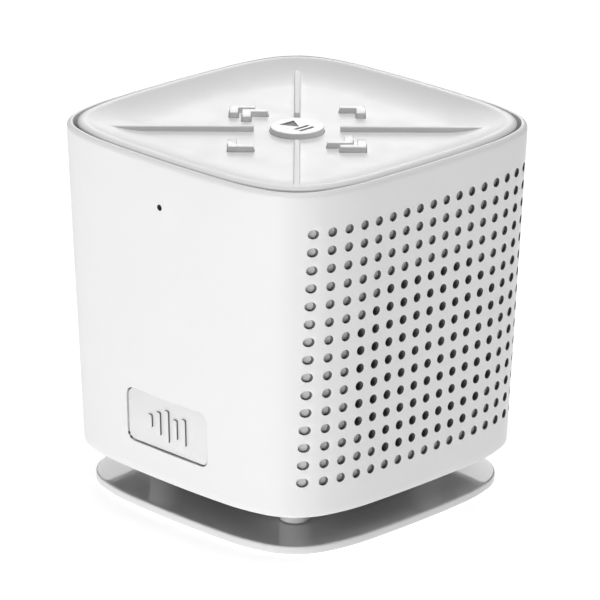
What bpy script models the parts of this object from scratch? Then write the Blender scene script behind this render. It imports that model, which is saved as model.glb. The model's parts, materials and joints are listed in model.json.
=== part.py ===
"""A cube-shaped smart speaker, standing on a thin plate that its bass radiator fires down onto.

Metres, +Z up. The origin is on the floor under the middle of the speaker. The front, with the
microphone and the name plate, faces -Y. The two drivers fire through the perforated sides, +X and -X.
"""

import math

import bmesh
import bpy
from mathutils import Matrix, Vector

# Housing: a square tube with bowed faces, a little wider at the top.
TOP_HALF = 0.04105
FOOT_HALF = 0.0388
RIM_Z = 0.0830
FOOT_Z = 0.0098
WALL = 0.0022
RIM_ROUND = 0.0011
FOOT_ROUND = 0.0006

# Outline: a flat arc along each face, a shoulder arc, then the corner arc. Turns are in radians.
SHOULDER_RADIUS = 0.0441
CORNER_RADIUS = 0.0143
FACE_TURN = 0.05
SHOULDER_TURN = 0.30
CORNER_STEPS = 4

# Clearances.
GAP = 0.0003
KEY_GAP = 0.00025
SEAM = 0.0003

# Top panel: a shallow dish with a rolled lip, let into the rim.
RIM_LAND = 0.0014
LEDGE_DEPTH = 0.0033
LEDGE_WIDTH = 0.0018
LEDGE_THICK = 0.0015
LIP_RISE = 0.0005
LIP_WIDTH = 0.0019
DISH_DEPTH = 0.00315
DISH_FLAT_SHARE = 0.68
DISH_POWER = 1.7
PANEL_THICK = 0.00185

# Four ribs along the diagonals of the dish, and the five keys among them.
RIB_WIDTH = 0.0013
RIB_HEIGHT = 0.00135
RIB_START = 0.0093
RIB_END = 0.0420
BUTTON_RADIUS = 0.00585
BUTTON_RISE = 0.0014
CHEVRON_APEX = 0.0155
CHEVRON_ARM = 0.0063
CHEVRON_WIDTH = 0.0019
CHEVRON_STEP = 0.0028
FLANGE_MARGIN = 0.001
FLANGE_THICK = 0.0015
KEY_TRAVEL = 0.0005
STUB_RADIUS = 0.0016
STUB_LENGTH = 0.0011

# Key board with its tact switches, staked to the top panel.
BOARD_THICK = 0.0012
KEY_BOARD_HALF = 0.026
BOARD_CORNER = 0.002
TACT_SIZE = 0.0052
TACT_BODY = 0.0010
TACT_HEIGHT = 0.0014
TACT_RADIUS = 0.0012
STAKE_PLACE = 0.0215
STAKE_RADIUS = 0.0024
STAKE_PIN = 0.0010
STAKE_PROUD = 0.0008
STAKE_TIP = 0.0012

# Grille: holes drilled straight through each side, on a square grid, in front of the driver.
HOLE_PITCH = 0.0040
HOLE_RADIUS = 0.00105
HOLE_SIDES = 6
GRILLE_Z = 0.0400
GRILLE_REACH = 0.0210
GRILLE_CORNER = 0.0310

# Front: microphone and name plate.
MIC_Z = 0.0729
MIC_HOLE_RADIUS = 0.0007
MIC_RADIUS = 0.0020
MIC_LENGTH = 0.0020
MIC_BOOT_RADIUS = 0.0034
MIC_BOOT_LENGTH = 0.0034
MIC_BOOT_FLOOR = 0.0008
MIC_HOLE_OVERRUN = 0.0040
BADGE_Z = 0.0230
BADGE_WIDTH = 0.0244
BADGE_HEIGHT = 0.0118
BADGE_THICK = 0.0005
BADGE_SET_BACK = 0.0005
BADGE_CORNER = 0.0018
BADGE_BAR_HEIGHTS = (0.0026, 0.0050, 0.0070, 0.0042, 0.0058)
BADGE_BAR_WIDTH = 0.0011
BADGE_BAR_PITCH = 0.0026
BADGE_BAR_RISE = 0.0003

# Bottom panel, its screws and the bass radiator in its middle.
PANEL_INSET = 0.0008
BOTTOM_THICK = 0.0020
RADIATOR_HOLE = 0.0190
RADIATOR_RIM = 0.0224
RADIATOR_PLATE = 0.0140
RADIATOR_WEIGHT = 0.0122
ROLL_RADIUS = 0.0021
RUBBER = 0.0005
RING_THICK = 0.0013
DISC_THICK = 0.0011
SCREW_RADIUS = 0.0011
SCREW_HEAD = 0.0022
SCREW_HEAD_DEPTH = 0.0010
SCREW_LENGTH = 0.0095
HEAD_SET_IN = 0.0001
SCREW_CLEARANCE = 0.0003
CORNER_BOSS_PLACE = FOOT_HALF - WALL - 0.0069
CORNER_BOSS_RADIUS = 0.0032
CORNER_BOSS_LENGTH = 0.0100

# Foot: a thin plate carried on four posts, with a rubber pad under each.
PLATE_HALF = 0.03655
PLATE_Z = 0.0007
PLATE_THICK = 0.0016
PLATE_ROUND = 0.0006
POST_PLACE = 0.0204
POST_TOP_RADIUS = 0.00365
POST_FOOT_RADIUS = 0.0029
POST_BOSS_RADIUS = 0.0030
POST_BOSS_LENGTH = 0.0050
PAD_RADIUS = 0.0045
PAD_THICK = 0.0008
PAD_RECESS = 0.0004

# Driver, on an axis square to the sloping side. Depths are measured inwards from the wall.
DRIVER_RADIUS = 0.0236
GASKET_WIDTH = 0.0022
GASKET_THICK = 0.0025
BASKET_FLANGE = 0.0012
BASKET_DEPTH = 0.0110
BASKET_WALL = 0.0009
SURROUND_ROLL = 0.0015
SURROUND_LIP = 0.0015
CONE_THICK = 0.0006
CONE_DEPTH = 0.0056
COIL_RADIUS = 0.0067
FORMER_LENGTH = 0.0071
COIL_THICK = 0.0006
COIL_LENGTH = 0.0024
FRONT_PLATE_THICK = 0.0020
MAGNET_RADIUS = 0.0152
MAGNET_THICK = 0.0048
YOKE_THICK = 0.0025
METAL_INSET = 0.0010
CAP_RISE = 0.0033
CONE_TRAVEL = 0.0010

# Rear: the main board with its sockets, the slide switch and a light pipe, in a row.
MAIN_BOARD_HALF = 0.0260
MAIN_BOARD_LOW = 0.0150
MAIN_BOARD_HIGH = 0.0400
MAIN_BOARD_Y = FOOT_HALF - WALL - 0.0062
PORT_Z = 0.0200
USB_X = 0.0040
AUX_X = 0.0140
LIGHT_X = -0.0045
SWITCH_X = -0.0140
USB_WIDTH = 0.0076
USB_HEIGHT = 0.0027
USB_WALL = 0.0004
USB_CORNER = 0.0010
TONGUE_WIDTH = 0.0037
TONGUE_THICK = 0.0006
SOCKET_SET_BACK = 0.0006
SOCKET_FLOOR = 0.0008
CUT_OVERRUN = 0.0010
AUX_BODY = 0.0060
AUX_BODY_DEPTH = 0.0042
AUX_BODY_HEIGHT = 0.0050
AUX_NOSE_RADIUS = 0.0026
AUX_BORE_RADIUS = 0.0018
LIGHT_RADIUS = 0.0009
SLIDER_WIDTH = 0.0022
SLIDER_HEIGHT = 0.0018
SLIDER_TRAVEL = 0.0020
SLIDER_PROUD = 0.0006
SWITCH_WIDTH = 0.0086
SWITCH_DEPTH = 0.0030
SWITCH_HEIGHT = 0.0036
COLLAR_WIDTH = 0.0058
COLLAR_THICK = 0.0008
COLLAR_HEIGHT = 0.0032
SHIELD_WIDTH = 0.0140
SHIELD_THICK = 0.0022
SHIELD_HEIGHT = 0.0120
SHIELD_Z = 0.0320
BOARD_STAKE_X = 0.0220
BOARD_STAKE_Z = 0.0360

# Battery: a cylindrical cell lying front to back in a cradle.
CELL_RADIUS = 0.0091
CELL_LENGTH = 0.0500
CELL_Z = 0.0275
CRADLE_RADIUS = 0.0110
CRADLE_HALF = 0.0260
CRADLE_FOOT = 0.0026
CRADLE_FOOT_WIDTH = 0.0140
CRADLE_FOOT_BITE = 0.0020

ROUND_STEPS = 18
SMALL_STEPS = 10
RADIATOR_STEPS = 20
ROLL_STEPS = 5

TAPER = math.atan((TOP_HALF - FOOT_HALF) / (RIM_Z - FOOT_Z))
SEAM_HALF = TOP_HALF - RIM_LAND - SEAM
LEDGE_Z = RIM_Z - LEDGE_DEPTH
CREST_Z = RIM_Z + LIP_RISE
FLOOR_Z = CREST_Z - DISH_DEPTH
UNDER_Z = FLOOR_Z - PANEL_THICK
KEY_Z = FLOOR_Z + RIB_HEIGHT
BUTTON_Z = FLOOR_Z + BUTTON_RISE
FLANGE_TOP = UNDER_Z - GAP
FLANGE_Z = FLANGE_TOP - FLANGE_THICK
STUB_Z = FLANGE_Z - STUB_LENGTH
TACT_TOP = STUB_Z - KEY_TRAVEL - 0.0001
BOARD_TOP = TACT_TOP - TACT_HEIGHT - GAP
BOTTOM_Z = FOOT_Z + PANEL_INSET
BOTTOM_TOP = BOTTOM_Z + BOTTOM_THICK
PLATE_TOP = PLATE_Z + PLATE_THICK


def start():
    """Empties the scene and makes one collection for the speaker and one for its cutters."""
    for item in list(bpy.data.objects):
        bpy.data.objects.remove(item, do_unlink=True)
    made = []
    for name in ("smart_speaker", "cutters"):
        collection = bpy.data.collections.new(name)
        bpy.context.scene.collection.children.link(collection)
        made.append(collection)
    return made


PARTS, CUTTERS = start()


def material(name, colour, roughness, metallic=0.0):
    """A Principled material of one colour."""
    made = bpy.data.materials.new(name)
    made.use_nodes = True
    shader = made.node_tree.nodes["Principled BSDF"]
    shader.inputs["Base Color"].default_value = (*colour, 1.0)
    shader.inputs["Roughness"].default_value = roughness
    shader.inputs["Metallic"].default_value = metallic
    return made


SATIN_WHITE = material("satin_white", (0.86, 0.86, 0.86), 0.35)
GLOSS_WHITE = material("gloss_white", (0.84, 0.84, 0.84), 0.12)
GREY_PLASTIC = material("grey_plastic", (0.32, 0.32, 0.33), 0.5)
BLACK_PLASTIC = material("black_plastic", (0.03, 0.03, 0.03), 0.5)
BLACK_RUBBER = material("black_rubber", (0.02, 0.02, 0.02), 0.8)
PAPER = material("cone_paper", (0.05, 0.05, 0.055), 0.75)
STEEL = material("steel", (0.55, 0.55, 0.57), 0.35, 1.0)
FERRITE = material("ferrite", (0.08, 0.08, 0.09), 0.6)
COPPER = material("copper", (0.72, 0.35, 0.18), 0.35, 1.0)
BOARD_GREEN = material("board_green", (0.03, 0.20, 0.09), 0.5)
CELL_SLEEVE = material("cell_sleeve", (0.10, 0.25, 0.55), 0.4)
CLEAR = material("light_guide", (0.80, 0.85, 0.90), 0.2)
FOAM = material("foam", (0.09, 0.09, 0.09), 0.95)


def add(name, mesh, finish=None, parent=None):
    """An object in the speaker's collection, or a cutter when it has no finish."""
    made = bpy.data.objects.new(name, mesh)
    if finish is None:
        CUTTERS.objects.link(made)
        made.hide_render = True
        made.display_type = "WIRE"
    else:
        PARTS.objects.link(made)
        mesh.materials.append(finish)
    made.parent = parent
    return made


def mesh_of(name, bm):
    """The bmesh as a mesh with its normals outwards, smooth but for its real edges."""
    bmesh.ops.recalc_face_normals(bm, faces=bm.faces)
    mesh = bpy.data.meshes.new(name)
    bm.to_mesh(mesh)
    bm.free()
    mesh.shade_smooth()
    mesh.set_sharp_from_angle(angle=math.radians(35))
    return mesh


def combine(target, tool, operation="DIFFERENCE"):
    """Cuts the tool from the target, or joins it to it, with an exact Boolean."""
    step = target.modifiers.new(tool.name, "BOOLEAN")
    step.operation = operation
    step.solver = "EXACT"
    step.object = tool


def block(name, size, centre, finish=None, parent=None, corner=0.0, along="Z"):
    """A box, whose four edges along one axis can be rounded."""
    bm = bmesh.new()
    bmesh.ops.create_cube(bm, size=1.0)
    bmesh.ops.scale(bm, vec=size, verts=bm.verts)
    if corner:
        axis = "XYZ".index(along)
        edges = [e for e in bm.edges if abs((e.verts[0].co - e.verts[1].co)[axis]) > size[axis] / 2]
        bmesh.ops.bevel(bm, geom=edges, offset=corner, segments=3, profile=0.5, affect="EDGES")
    made = add(name, mesh_of(name, bm), finish, parent)
    made.location = centre
    return made


def turned(name, profile, finish=None, parent=None, steps=ROUND_STEPS, ring=True):
    """A profile of (radius, height) points turned about +Z. A ring's profile is closed."""
    mesh = bpy.data.meshes.new(name)
    edges = [(i, i + 1) for i in range(len(profile) - 1)]
    if ring:
        edges.append((len(profile) - 1, 0))
    mesh.from_pydata([(radius, 0.0, height) for radius, height in profile], edges, [])
    made = add(name, mesh, finish, parent)
    turn = made.modifiers.new("turn", "SCREW")
    turn.steps = steps
    turn.render_steps = steps
    turn.use_merge_vertices = True
    turn.merge_threshold = 0.00001
    return made


def rod(name, radius, low, high, finish=None, parent=None, steps=SMALL_STEPS):
    """A plain cylinder about +Z from one height to another."""
    profile = [(0.0, high), (radius, high), (radius, low), (0.0, low)]
    return turned(name, profile, finish, parent, steps, ring=False)


def tube(name, outer, inner, low, high, finish=None, parent=None, steps=ROUND_STEPS):
    """A ring of rectangular section about +Z."""
    profile = [(inner, high), (outer, high), (outer, low), (inner, low)]
    return turned(name, profile, finish, parent, steps)


def prism(name, points, low, high, finish=None, parent=None):
    """A flat outline given a thickness: a filled 2D curve, made a mesh and welded."""
    curve = bpy.data.curves.new(name, "CURVE")
    curve.dimensions = "2D"
    curve.fill_mode = "BOTH"
    curve.extrude = (high - low) / 2
    spline = curve.splines.new("POLY")
    spline.points.add(len(points) - 1)
    for point, (x, y) in zip(spline.points, points):
        point.co = (x, y, 0.0, 1.0)
    spline.use_cyclic_u = True
    source = bpy.data.objects.new(name + "_curve", curve)
    CUTTERS.objects.link(source)
    source.location.z = (low + high) / 2
    bpy.context.view_layer.update()
    evaluated = source.evaluated_get(bpy.context.evaluated_depsgraph_get())
    mesh = bpy.data.meshes.new_from_object(evaluated)
    bm = bmesh.new()
    bm.from_mesh(mesh)
    bmesh.ops.remove_doubles(bm, verts=bm.verts, dist=0.00001)
    bpy.data.meshes.remove(mesh)
    placed = source.matrix_world.copy()
    made = add(name, mesh_of(name, bm), finish, parent)
    made.matrix_local = placed
    bpy.data.objects.remove(source, do_unlink=True)
    bpy.data.curves.remove(curve)
    return made


def half_at(z):
    """Half the housing's width across its faces at a height."""
    return FOOT_HALF + (z - FOOT_Z) * math.tan(TAPER)


def arc_centres(half):
    """Centres and radii of the face, shoulder and corner arcs that close on the diagonal."""
    face, shoulder, mid = FACE_TURN, SHOULDER_TURN, math.pi / 4
    reach = half
    for radius, start_turn, end_turn in ((SHOULDER_RADIUS, face, shoulder), (CORNER_RADIUS, shoulder, mid)):
        reach -= radius * (math.cos(start_turn) - math.cos(end_turn))
        reach -= radius * (math.sin(end_turn) - math.sin(start_turn))
    face_radius = reach / (1 - math.cos(face) + math.sin(face))
    first = Vector((half - face_radius, 0.0))
    second = first + (face_radius - SHOULDER_RADIUS) * Vector((math.cos(face), math.sin(face)))
    third = second + (SHOULDER_RADIUS - CORNER_RADIUS) * Vector((math.cos(shoulder), math.sin(shoulder)))
    return (first, face_radius), (second, SHOULDER_RADIUS), (third, CORNER_RADIUS)


def outline_point(heading, half, inset):
    """The outline's point whose outward direction has this heading, between 0 and a quarter turn."""
    if heading > math.pi / 4:
        point = outline_point(math.pi / 2 - heading, half, inset)
        return Vector((point.y, point.x))
    arcs = arc_centres(half)
    centre, radius = arcs[(heading > FACE_TURN) + (heading > SHOULDER_TURN)]
    return centre + (radius - inset) * Vector((math.cos(heading), math.sin(heading)))


def quarter_headings():
    """Headings from 0 up to a quarter turn, closer together round the corner, with none on a centre line."""
    rise = [FACE_TURN / 3, FACE_TURN, (FACE_TURN + SHOULDER_TURN) / 2, SHOULDER_TURN]
    turn = (math.pi / 2 - 2 * SHOULDER_TURN) / CORNER_STEPS
    corner = [SHOULDER_TURN + turn * i for i in range(1, CORNER_STEPS)]
    return rise + corner + [math.pi / 2 - heading for heading in reversed(rise)]


def outline(half, z, inset=0.0, share=1.0):
    """The whole outline at a height, set inwards all round or scaled about the middle."""
    points = []
    for quarter in range(4):
        for heading in quarter_headings():
            point = outline_point(heading, half, inset) * share
            point.rotate(Matrix.Rotation(quarter * math.pi / 2, 2))
            points.append(Vector((point.x, point.y, z)))
    return points


def loft(name, rings, finish, closed=False):
    """A solid through rings of points, capped at its ends or closed on itself as a tube."""
    bm = bmesh.new()
    loops = [[bm.verts.new(point) for point in ring] for ring in rings]
    pairs = list(zip(loops, loops[1:]))
    if closed:
        pairs.append((loops[-1], loops[0]))
    else:
        bm.faces.new(loops[0])
        bm.faces.new(loops[-1])
    for lower, upper in pairs:
        for i, vert in enumerate(lower):
            bm.faces.new((lower[i - 1], vert, upper[i], upper[i - 1]))
    return add(name, mesh_of(name, bm), finish)


def corners(place):
    """The four places on the diagonals, with the name of each."""
    for side, x in (("left", -place), ("right", place)):
        for end, y in (("front", -place), ("rear", place)):
            yield f"{end}_{side}", (x, y, 0.0)


def housing():
    """The outer shell: rim, panel ledge, wall and lower edge in one section, swept round the outline."""
    ledge_low = LEDGE_Z - LEDGE_THICK
    ledge_inset = RIM_LAND + LEDGE_WIDTH
    section = [
        (0.0, FOOT_Z + FOOT_ROUND),
        (0.0, RIM_Z - RIM_ROUND),
        (RIM_ROUND * (1 - math.cos(math.pi / 4)), RIM_Z - RIM_ROUND * (1 - math.sin(math.pi / 4))),
        (RIM_ROUND, RIM_Z),
        (RIM_LAND, RIM_Z),
        (RIM_LAND, LEDGE_Z),
        (ledge_inset, LEDGE_Z),
        (ledge_inset, ledge_low),
        (WALL, ledge_low - (ledge_inset - WALL)),
        (WALL, FOOT_Z),
        (FOOT_ROUND, FOOT_Z),
    ]
    rings = [outline(half_at(z), z, inset) for inset, z in section]
    shell = loft("housing", rings, SATIN_WHITE, closed=True)
    for name, place in corners(CORNER_BOSS_PLACE):
        low = BOTTOM_TOP + GAP
        boss = rod(f"corner_boss_{name}", CORNER_BOSS_RADIUS, low, low + CORNER_BOSS_LENGTH)
        boss.location = place
        combine(shell, boss, "UNION")
        pilot_top = low + 0.8 * CORNER_BOSS_LENGTH
        pilot = rod(f"corner_pilot_{name}", SCREW_RADIUS + SCREW_CLEARANCE, low - GAP, pilot_top)
        pilot.location = place
        combine(shell, pilot)
    for side in (-1, 1):
        combine(shell, board_stake(side), "UNION")
    combine(shell, grille_drills())
    combine(shell, badge_recess())
    mic_hole_end = WALL - TOP_HALF + MIC_HOLE_OVERRUN
    combine(shell, rear_rod("mic_hole", MIC_HOLE_RADIUS, 0.0, MIC_Z, -TOP_HALF - GAP, mic_hole_end))
    for cutter in rear_cutters():
        combine(shell, cutter)
    return shell


def rear_rod(name, radius, x, z, low, high, finish=None, steps=SMALL_STEPS):
    """A cylinder along Y from one depth to another."""
    made = rod(name, radius, -high, -low, finish, steps=steps)
    made.rotation_euler.x = math.pi / 2
    made.location = (x, 0.0, z)
    return made


def board_stake(side):
    """A boss on the rear wall whose pin holds the main board."""
    wall_y = half_at(BOARD_STAKE_Z) - WALL / 2
    shoulder = MAIN_BOARD_Y + BOARD_THICK + GAP
    profile = [
        (0.0, -MAIN_BOARD_Y + STAKE_TIP),
        (STAKE_PIN, -MAIN_BOARD_Y + STAKE_TIP),
        (STAKE_PIN, -shoulder),
        (STAKE_RADIUS, -shoulder),
        (STAKE_RADIUS, -wall_y),
        (0.0, -wall_y),
    ]
    made = turned(f"board_stake_{side}", profile, steps=SMALL_STEPS, ring=False)
    made.rotation_euler.x = math.pi / 2
    made.location = (side * BOARD_STAKE_X, 0.0, BOARD_STAKE_Z)
    return made


def grille_places():
    """Grid places in the eight-sided field in front of the driver, as (y, z)."""
    reach = int(GRILLE_REACH / HOLE_PITCH) + 1
    for column in range(-reach, reach + 1):
        for row in range(-reach, reach):
            y = column * HOLE_PITCH
            z = (row + 0.5) * HOLE_PITCH
            if max(abs(y), abs(z)) < GRILLE_REACH and abs(y) + abs(z) < GRILLE_CORNER:
                yield y, GRILLE_Z + z


def grille_drills():
    """All the drills of both grilles, each one long enough for the two sides."""
    bm = bmesh.new()
    for y, z in grille_places():
        place = Matrix.Translation((0.0, y, z)) @ Matrix.Rotation(math.pi / 2, 4, "Y")
        bmesh.ops.create_cone(
            bm,
            cap_ends=True,
            segments=HOLE_SIDES,
            radius1=HOLE_RADIUS,
            radius2=HOLE_RADIUS,
            depth=2.25 * TOP_HALF,
            matrix=place,
        )
    return add("grille_drills", mesh_of("grille_drills", bm))


def wall_frame(name, heading, z, depth):
    """An empty on a face's centre line, set in from its surface, whose +Z looks out square to it."""
    frame = bpy.data.objects.new(name, None)
    PARTS.objects.link(frame)
    out = Matrix.Rotation(heading, 4, "Z") @ Matrix.Rotation(math.pi / 2 + TAPER, 4, "Y")
    place = Matrix.Rotation(heading, 3, "Z") @ Vector((half_at(z) - depth, 0.0, z))
    frame.matrix_world = Matrix.Translation(place) @ out
    return frame


FRONT = -math.pi / 2
BADGE_FRAME = wall_frame("badge_frame", FRONT, BADGE_Z, BADGE_SET_BACK)


def badge_recess():
    """The pocket that the name plate lies in."""
    floor = BADGE_THICK + GAP
    size = (BADGE_HEIGHT + 2 * GAP, BADGE_WIDTH + 2 * GAP, floor + WALL)
    centre = (0.0, 0.0, size[2] / 2 - floor)
    return block("badge_recess", size, centre, parent=BADGE_FRAME, corner=BADGE_CORNER + GAP)


def badge():
    """The name plate, plain but for a row of raised bars."""
    size = (BADGE_HEIGHT, BADGE_WIDTH, BADGE_THICK)
    plate = block("name_plate", size, (0.0, 0.0, -BADGE_THICK / 2), GLOSS_WHITE, BADGE_FRAME, BADGE_CORNER)
    first = -BADGE_BAR_PITCH * (len(BADGE_BAR_HEIGHTS) - 1) / 2
    for i, height in enumerate(BADGE_BAR_HEIGHTS):
        bar_size = (height, BADGE_BAR_WIDTH, 2 * BADGE_BAR_RISE)
        bar = block(f"badge_bar_{i}", bar_size, (0.0, first + i * BADGE_BAR_PITCH, 0.0), parent=BADGE_FRAME)
        combine(plate, bar, "UNION")


def dish_rings():
    """Rings of the top panel, from the dish's flat floor over the lip and round to the underside."""
    floor = outline(SEAM_HALF, FLOOR_Z, share=DISH_FLAT_SHARE)
    crest = outline(SEAM_HALF, CREST_Z, inset=LIP_WIDTH)
    rings = []
    for step in range(6):
        t = step / 5
        height = FLOOR_Z + DISH_DEPTH * t**DISH_POWER
        rings.append([Vector((*a.lerp(b, t).xy, height)) for a, b in zip(floor, crest)])
    drop = LIP_RISE + GAP
    for turn in (0.25, 0.6, 1.0):
        across = LIP_WIDTH * (1 - math.sin(turn * math.pi / 2))
        down = drop * (1 - math.cos(turn * math.pi / 2))
        rings.append(outline(SEAM_HALF, CREST_Z - down, inset=across))
    ledge = LEDGE_Z + GAP
    rings.append(outline(SEAM_HALF, ledge))
    rings.append(outline(SEAM_HALF, ledge, inset=LEDGE_WIDTH + GAP))
    rings.append(outline(SEAM_HALF, UNDER_Z, inset=LEDGE_WIDTH + GAP))
    return rings


def chevron(apex, spare=0.0):
    """An L of two equal arms whose corner points along the diagonal, with spare all round."""
    far = apex + spare
    inner = apex - CHEVRON_WIDTH - spare
    end = apex - CHEVRON_ARM - spare
    return [(far, far), (end, far), (end, inner), (inner, inner), (inner, end), (far, end)]


KEYS = {
    "volume_up_key": (math.pi / 2, 1),
    "volume_down_key": (-math.pi / 2, 1),
    "next_key": (0.0, 2),
    "previous_key": (math.pi, 2),
}


def key_turn(heading):
    """The turn that points a chevron's corner along a heading."""
    return heading - math.pi / 4


def top_panel():
    """The dished panel with its ribs, the openings for the keys and the stakes for their board."""
    panel = loft("top_panel", dish_rings(), SATIN_WHITE)
    for i in range(4):
        size = (RIB_END - RIB_START, RIB_WIDTH, KEY_Z - UNDER_Z - GAP)
        turn = math.pi / 4 + i * math.pi / 2
        rib = block(f"rib_{i}", size, (0.0, 0.0, 0.0))
        middle = (RIB_START + RIB_END) / 2
        rib.location = (middle * math.cos(turn), middle * math.sin(turn), KEY_Z - size[2] / 2)
        rib.rotation_euler.z = turn
        combine(panel, rib, "UNION")
    for name, place in corners(STAKE_PLACE):
        shoulder = BOARD_TOP + GAP
        profile = [
            (0.0, UNDER_Z + GAP),
            (STAKE_RADIUS, UNDER_Z + GAP),
            (STAKE_RADIUS, shoulder),
            (STAKE_PIN, shoulder),
            (STAKE_PIN, BOARD_TOP - BOARD_THICK - STAKE_PROUD),
            (0.0, BOARD_TOP - BOARD_THICK - STAKE_PROUD),
        ]
        stake = turned(f"panel_stake_{name}", profile, steps=SMALL_STEPS, ring=False)
        stake.location = place
        combine(panel, stake, "UNION")
    opening_radius = BUTTON_RADIUS + KEY_GAP
    combine(panel, rod("button_opening", opening_radius, UNDER_Z - GAP, BUTTON_Z + GAP, steps=RADIATOR_STEPS))
    for name, (heading, count) in KEYS.items():
        for i in range(count):
            points = chevron(CHEVRON_APEX - i * CHEVRON_STEP, KEY_GAP)
            opening = prism(f"{name}_opening_{i}", points, UNDER_Z - GAP, KEY_Z + GAP)
            opening.rotation_euler.z = key_turn(heading)
            combine(panel, opening)


def keys():
    """The round play key and the four chevron keys, each with a flange under the panel and a stub."""
    profile = [
        (0.0, BUTTON_Z),
        (BUTTON_RADIUS - GAP, BUTTON_Z),
        (BUTTON_RADIUS, BUTTON_Z - GAP),
        (BUTTON_RADIUS, FLANGE_TOP),
        (BUTTON_RADIUS + FLANGE_MARGIN, FLANGE_TOP),
        (BUTTON_RADIUS + FLANGE_MARGIN, FLANGE_Z),
        (STUB_RADIUS, FLANGE_Z),
        (STUB_RADIUS, STUB_Z),
        (0.0, STUB_Z),
    ]
    turned("play_key", profile, GLOSS_WHITE, steps=RADIATOR_STEPS, ring=False)
    tact_switch("play", 0.0, 0.0)
    for name, (heading, count) in KEYS.items():
        high = CHEVRON_APEX + FLANGE_MARGIN
        low = CHEVRON_APEX - (count - 1) * CHEVRON_STEP - CHEVRON_ARM - FLANGE_MARGIN
        middle = (high + low) / 2
        size = (high - low, high - low, FLANGE_THICK)
        key = block(name, size, (0.0, 0.0, 0.0), GLOSS_WHITE, corner=FLANGE_MARGIN)
        key.rotation_euler.z = key_turn(heading)
        key.location = Matrix.Rotation(key_turn(heading), 3, "Z") @ Vector((middle, middle, 0.0))
        key.location.z = FLANGE_Z + FLANGE_THICK / 2
        for i in range(count):
            points = chevron(CHEVRON_APEX - i * CHEVRON_STEP)
            arm = prism(f"{name}_arms_{i}", points, FLANGE_Z + FLANGE_THICK / 2, KEY_Z)
            arm.rotation_euler.z = key_turn(heading)
            combine(key, arm, "UNION")
        stub = rod(f"{name}_stub", STUB_RADIUS, STUB_Z, FLANGE_Z + FLANGE_THICK / 2)
        stub.location.xy = key.location.xy
        combine(key, stub, "UNION")
        tact_switch(name.removesuffix("_key"), *key.location.xy)


def tact_switch(name, x, y):
    """A tact switch on the key board: a square body with its round plunger."""
    low = BOARD_TOP + GAP
    centre = (x, y, low + TACT_BODY / 2)
    body = block(f"{name}_switch", (TACT_SIZE, TACT_SIZE, TACT_BODY), centre, BLACK_PLASTIC)
    plunger = rod(f"{name}_plunger", TACT_RADIUS, low + TACT_BODY / 2, TACT_TOP)
    plunger.location.xy = (x, y)
    combine(body, plunger, "UNION")


def key_board():
    """The board under the panel, with a hole for each stake's pin."""
    size = (2 * KEY_BOARD_HALF, 2 * KEY_BOARD_HALF, BOARD_THICK)
    board = block("key_board", size, (0.0, 0.0, BOARD_TOP - BOARD_THICK / 2), BOARD_GREEN, corner=BOARD_CORNER)
    for name, place in corners(STAKE_PLACE):
        hole = rod(f"key_board_hole_{name}", STAKE_PIN + GAP, BOARD_TOP - BOARD_THICK - GAP, BOARD_TOP + GAP)
        hole.location = place
        combine(board, hole)


def bottom_panel():
    """The panel let into the lower edge, open in the middle for the radiator, with a boss over each post."""
    inset = WALL + GAP
    rings = [outline(half_at(z), z, inset) for z in (BOTTOM_Z, BOTTOM_TOP)]
    panel = loft("bottom_panel", rings, GREY_PLASTIC)
    hole = rod("radiator_hole", RADIATOR_HOLE, BOTTOM_Z - GAP, BOTTOM_TOP + GAP, steps=RADIATOR_STEPS)
    combine(panel, hole)
    pilot_radius = SCREW_RADIUS + SCREW_CLEARANCE
    for name, place in corners(POST_PLACE):
        boss = rod(f"post_boss_{name}", POST_BOSS_RADIUS, BOTTOM_Z + GAP, BOTTOM_TOP + POST_BOSS_LENGTH)
        boss.location = place
        combine(panel, boss, "UNION")
        pilot = rod(f"post_pilot_{name}", pilot_radius, BOTTOM_Z - GAP, BOTTOM_TOP + POST_BOSS_LENGTH + GAP)
        pilot.location = place
        combine(panel, pilot)
    for name, place in corners(CORNER_BOSS_PLACE):
        around = screw_hole(BOTTOM_Z + HEAD_SET_IN, BOTTOM_TOP + GAP, BOTTOM_Z - GAP)
        hole = turned(f"corner_screw_hole_{name}", around, steps=SMALL_STEPS, ring=False)
        hole.location = place
        combine(panel, hole)


def screw_profile(low, high):
    """A countersunk screw, head down, from its head's face to its tip."""
    return [
        (0.0, high),
        (SCREW_RADIUS, high),
        (SCREW_RADIUS, low + SCREW_HEAD_DEPTH),
        (SCREW_HEAD, low),
        (0.0, low),
    ]


def screw_hole(low, high, mouth):
    """The countersunk hole round such a screw, carried down to the mouth below the head."""
    head = SCREW_HEAD + SCREW_CLEARANCE
    shank = SCREW_RADIUS + SCREW_CLEARANCE
    cone_top = low + SCREW_HEAD_DEPTH + SCREW_CLEARANCE
    return [(0.0, high), (shank, high), (shank, cone_top), (head, low), (head, mouth), (0.0, mouth)]


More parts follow.
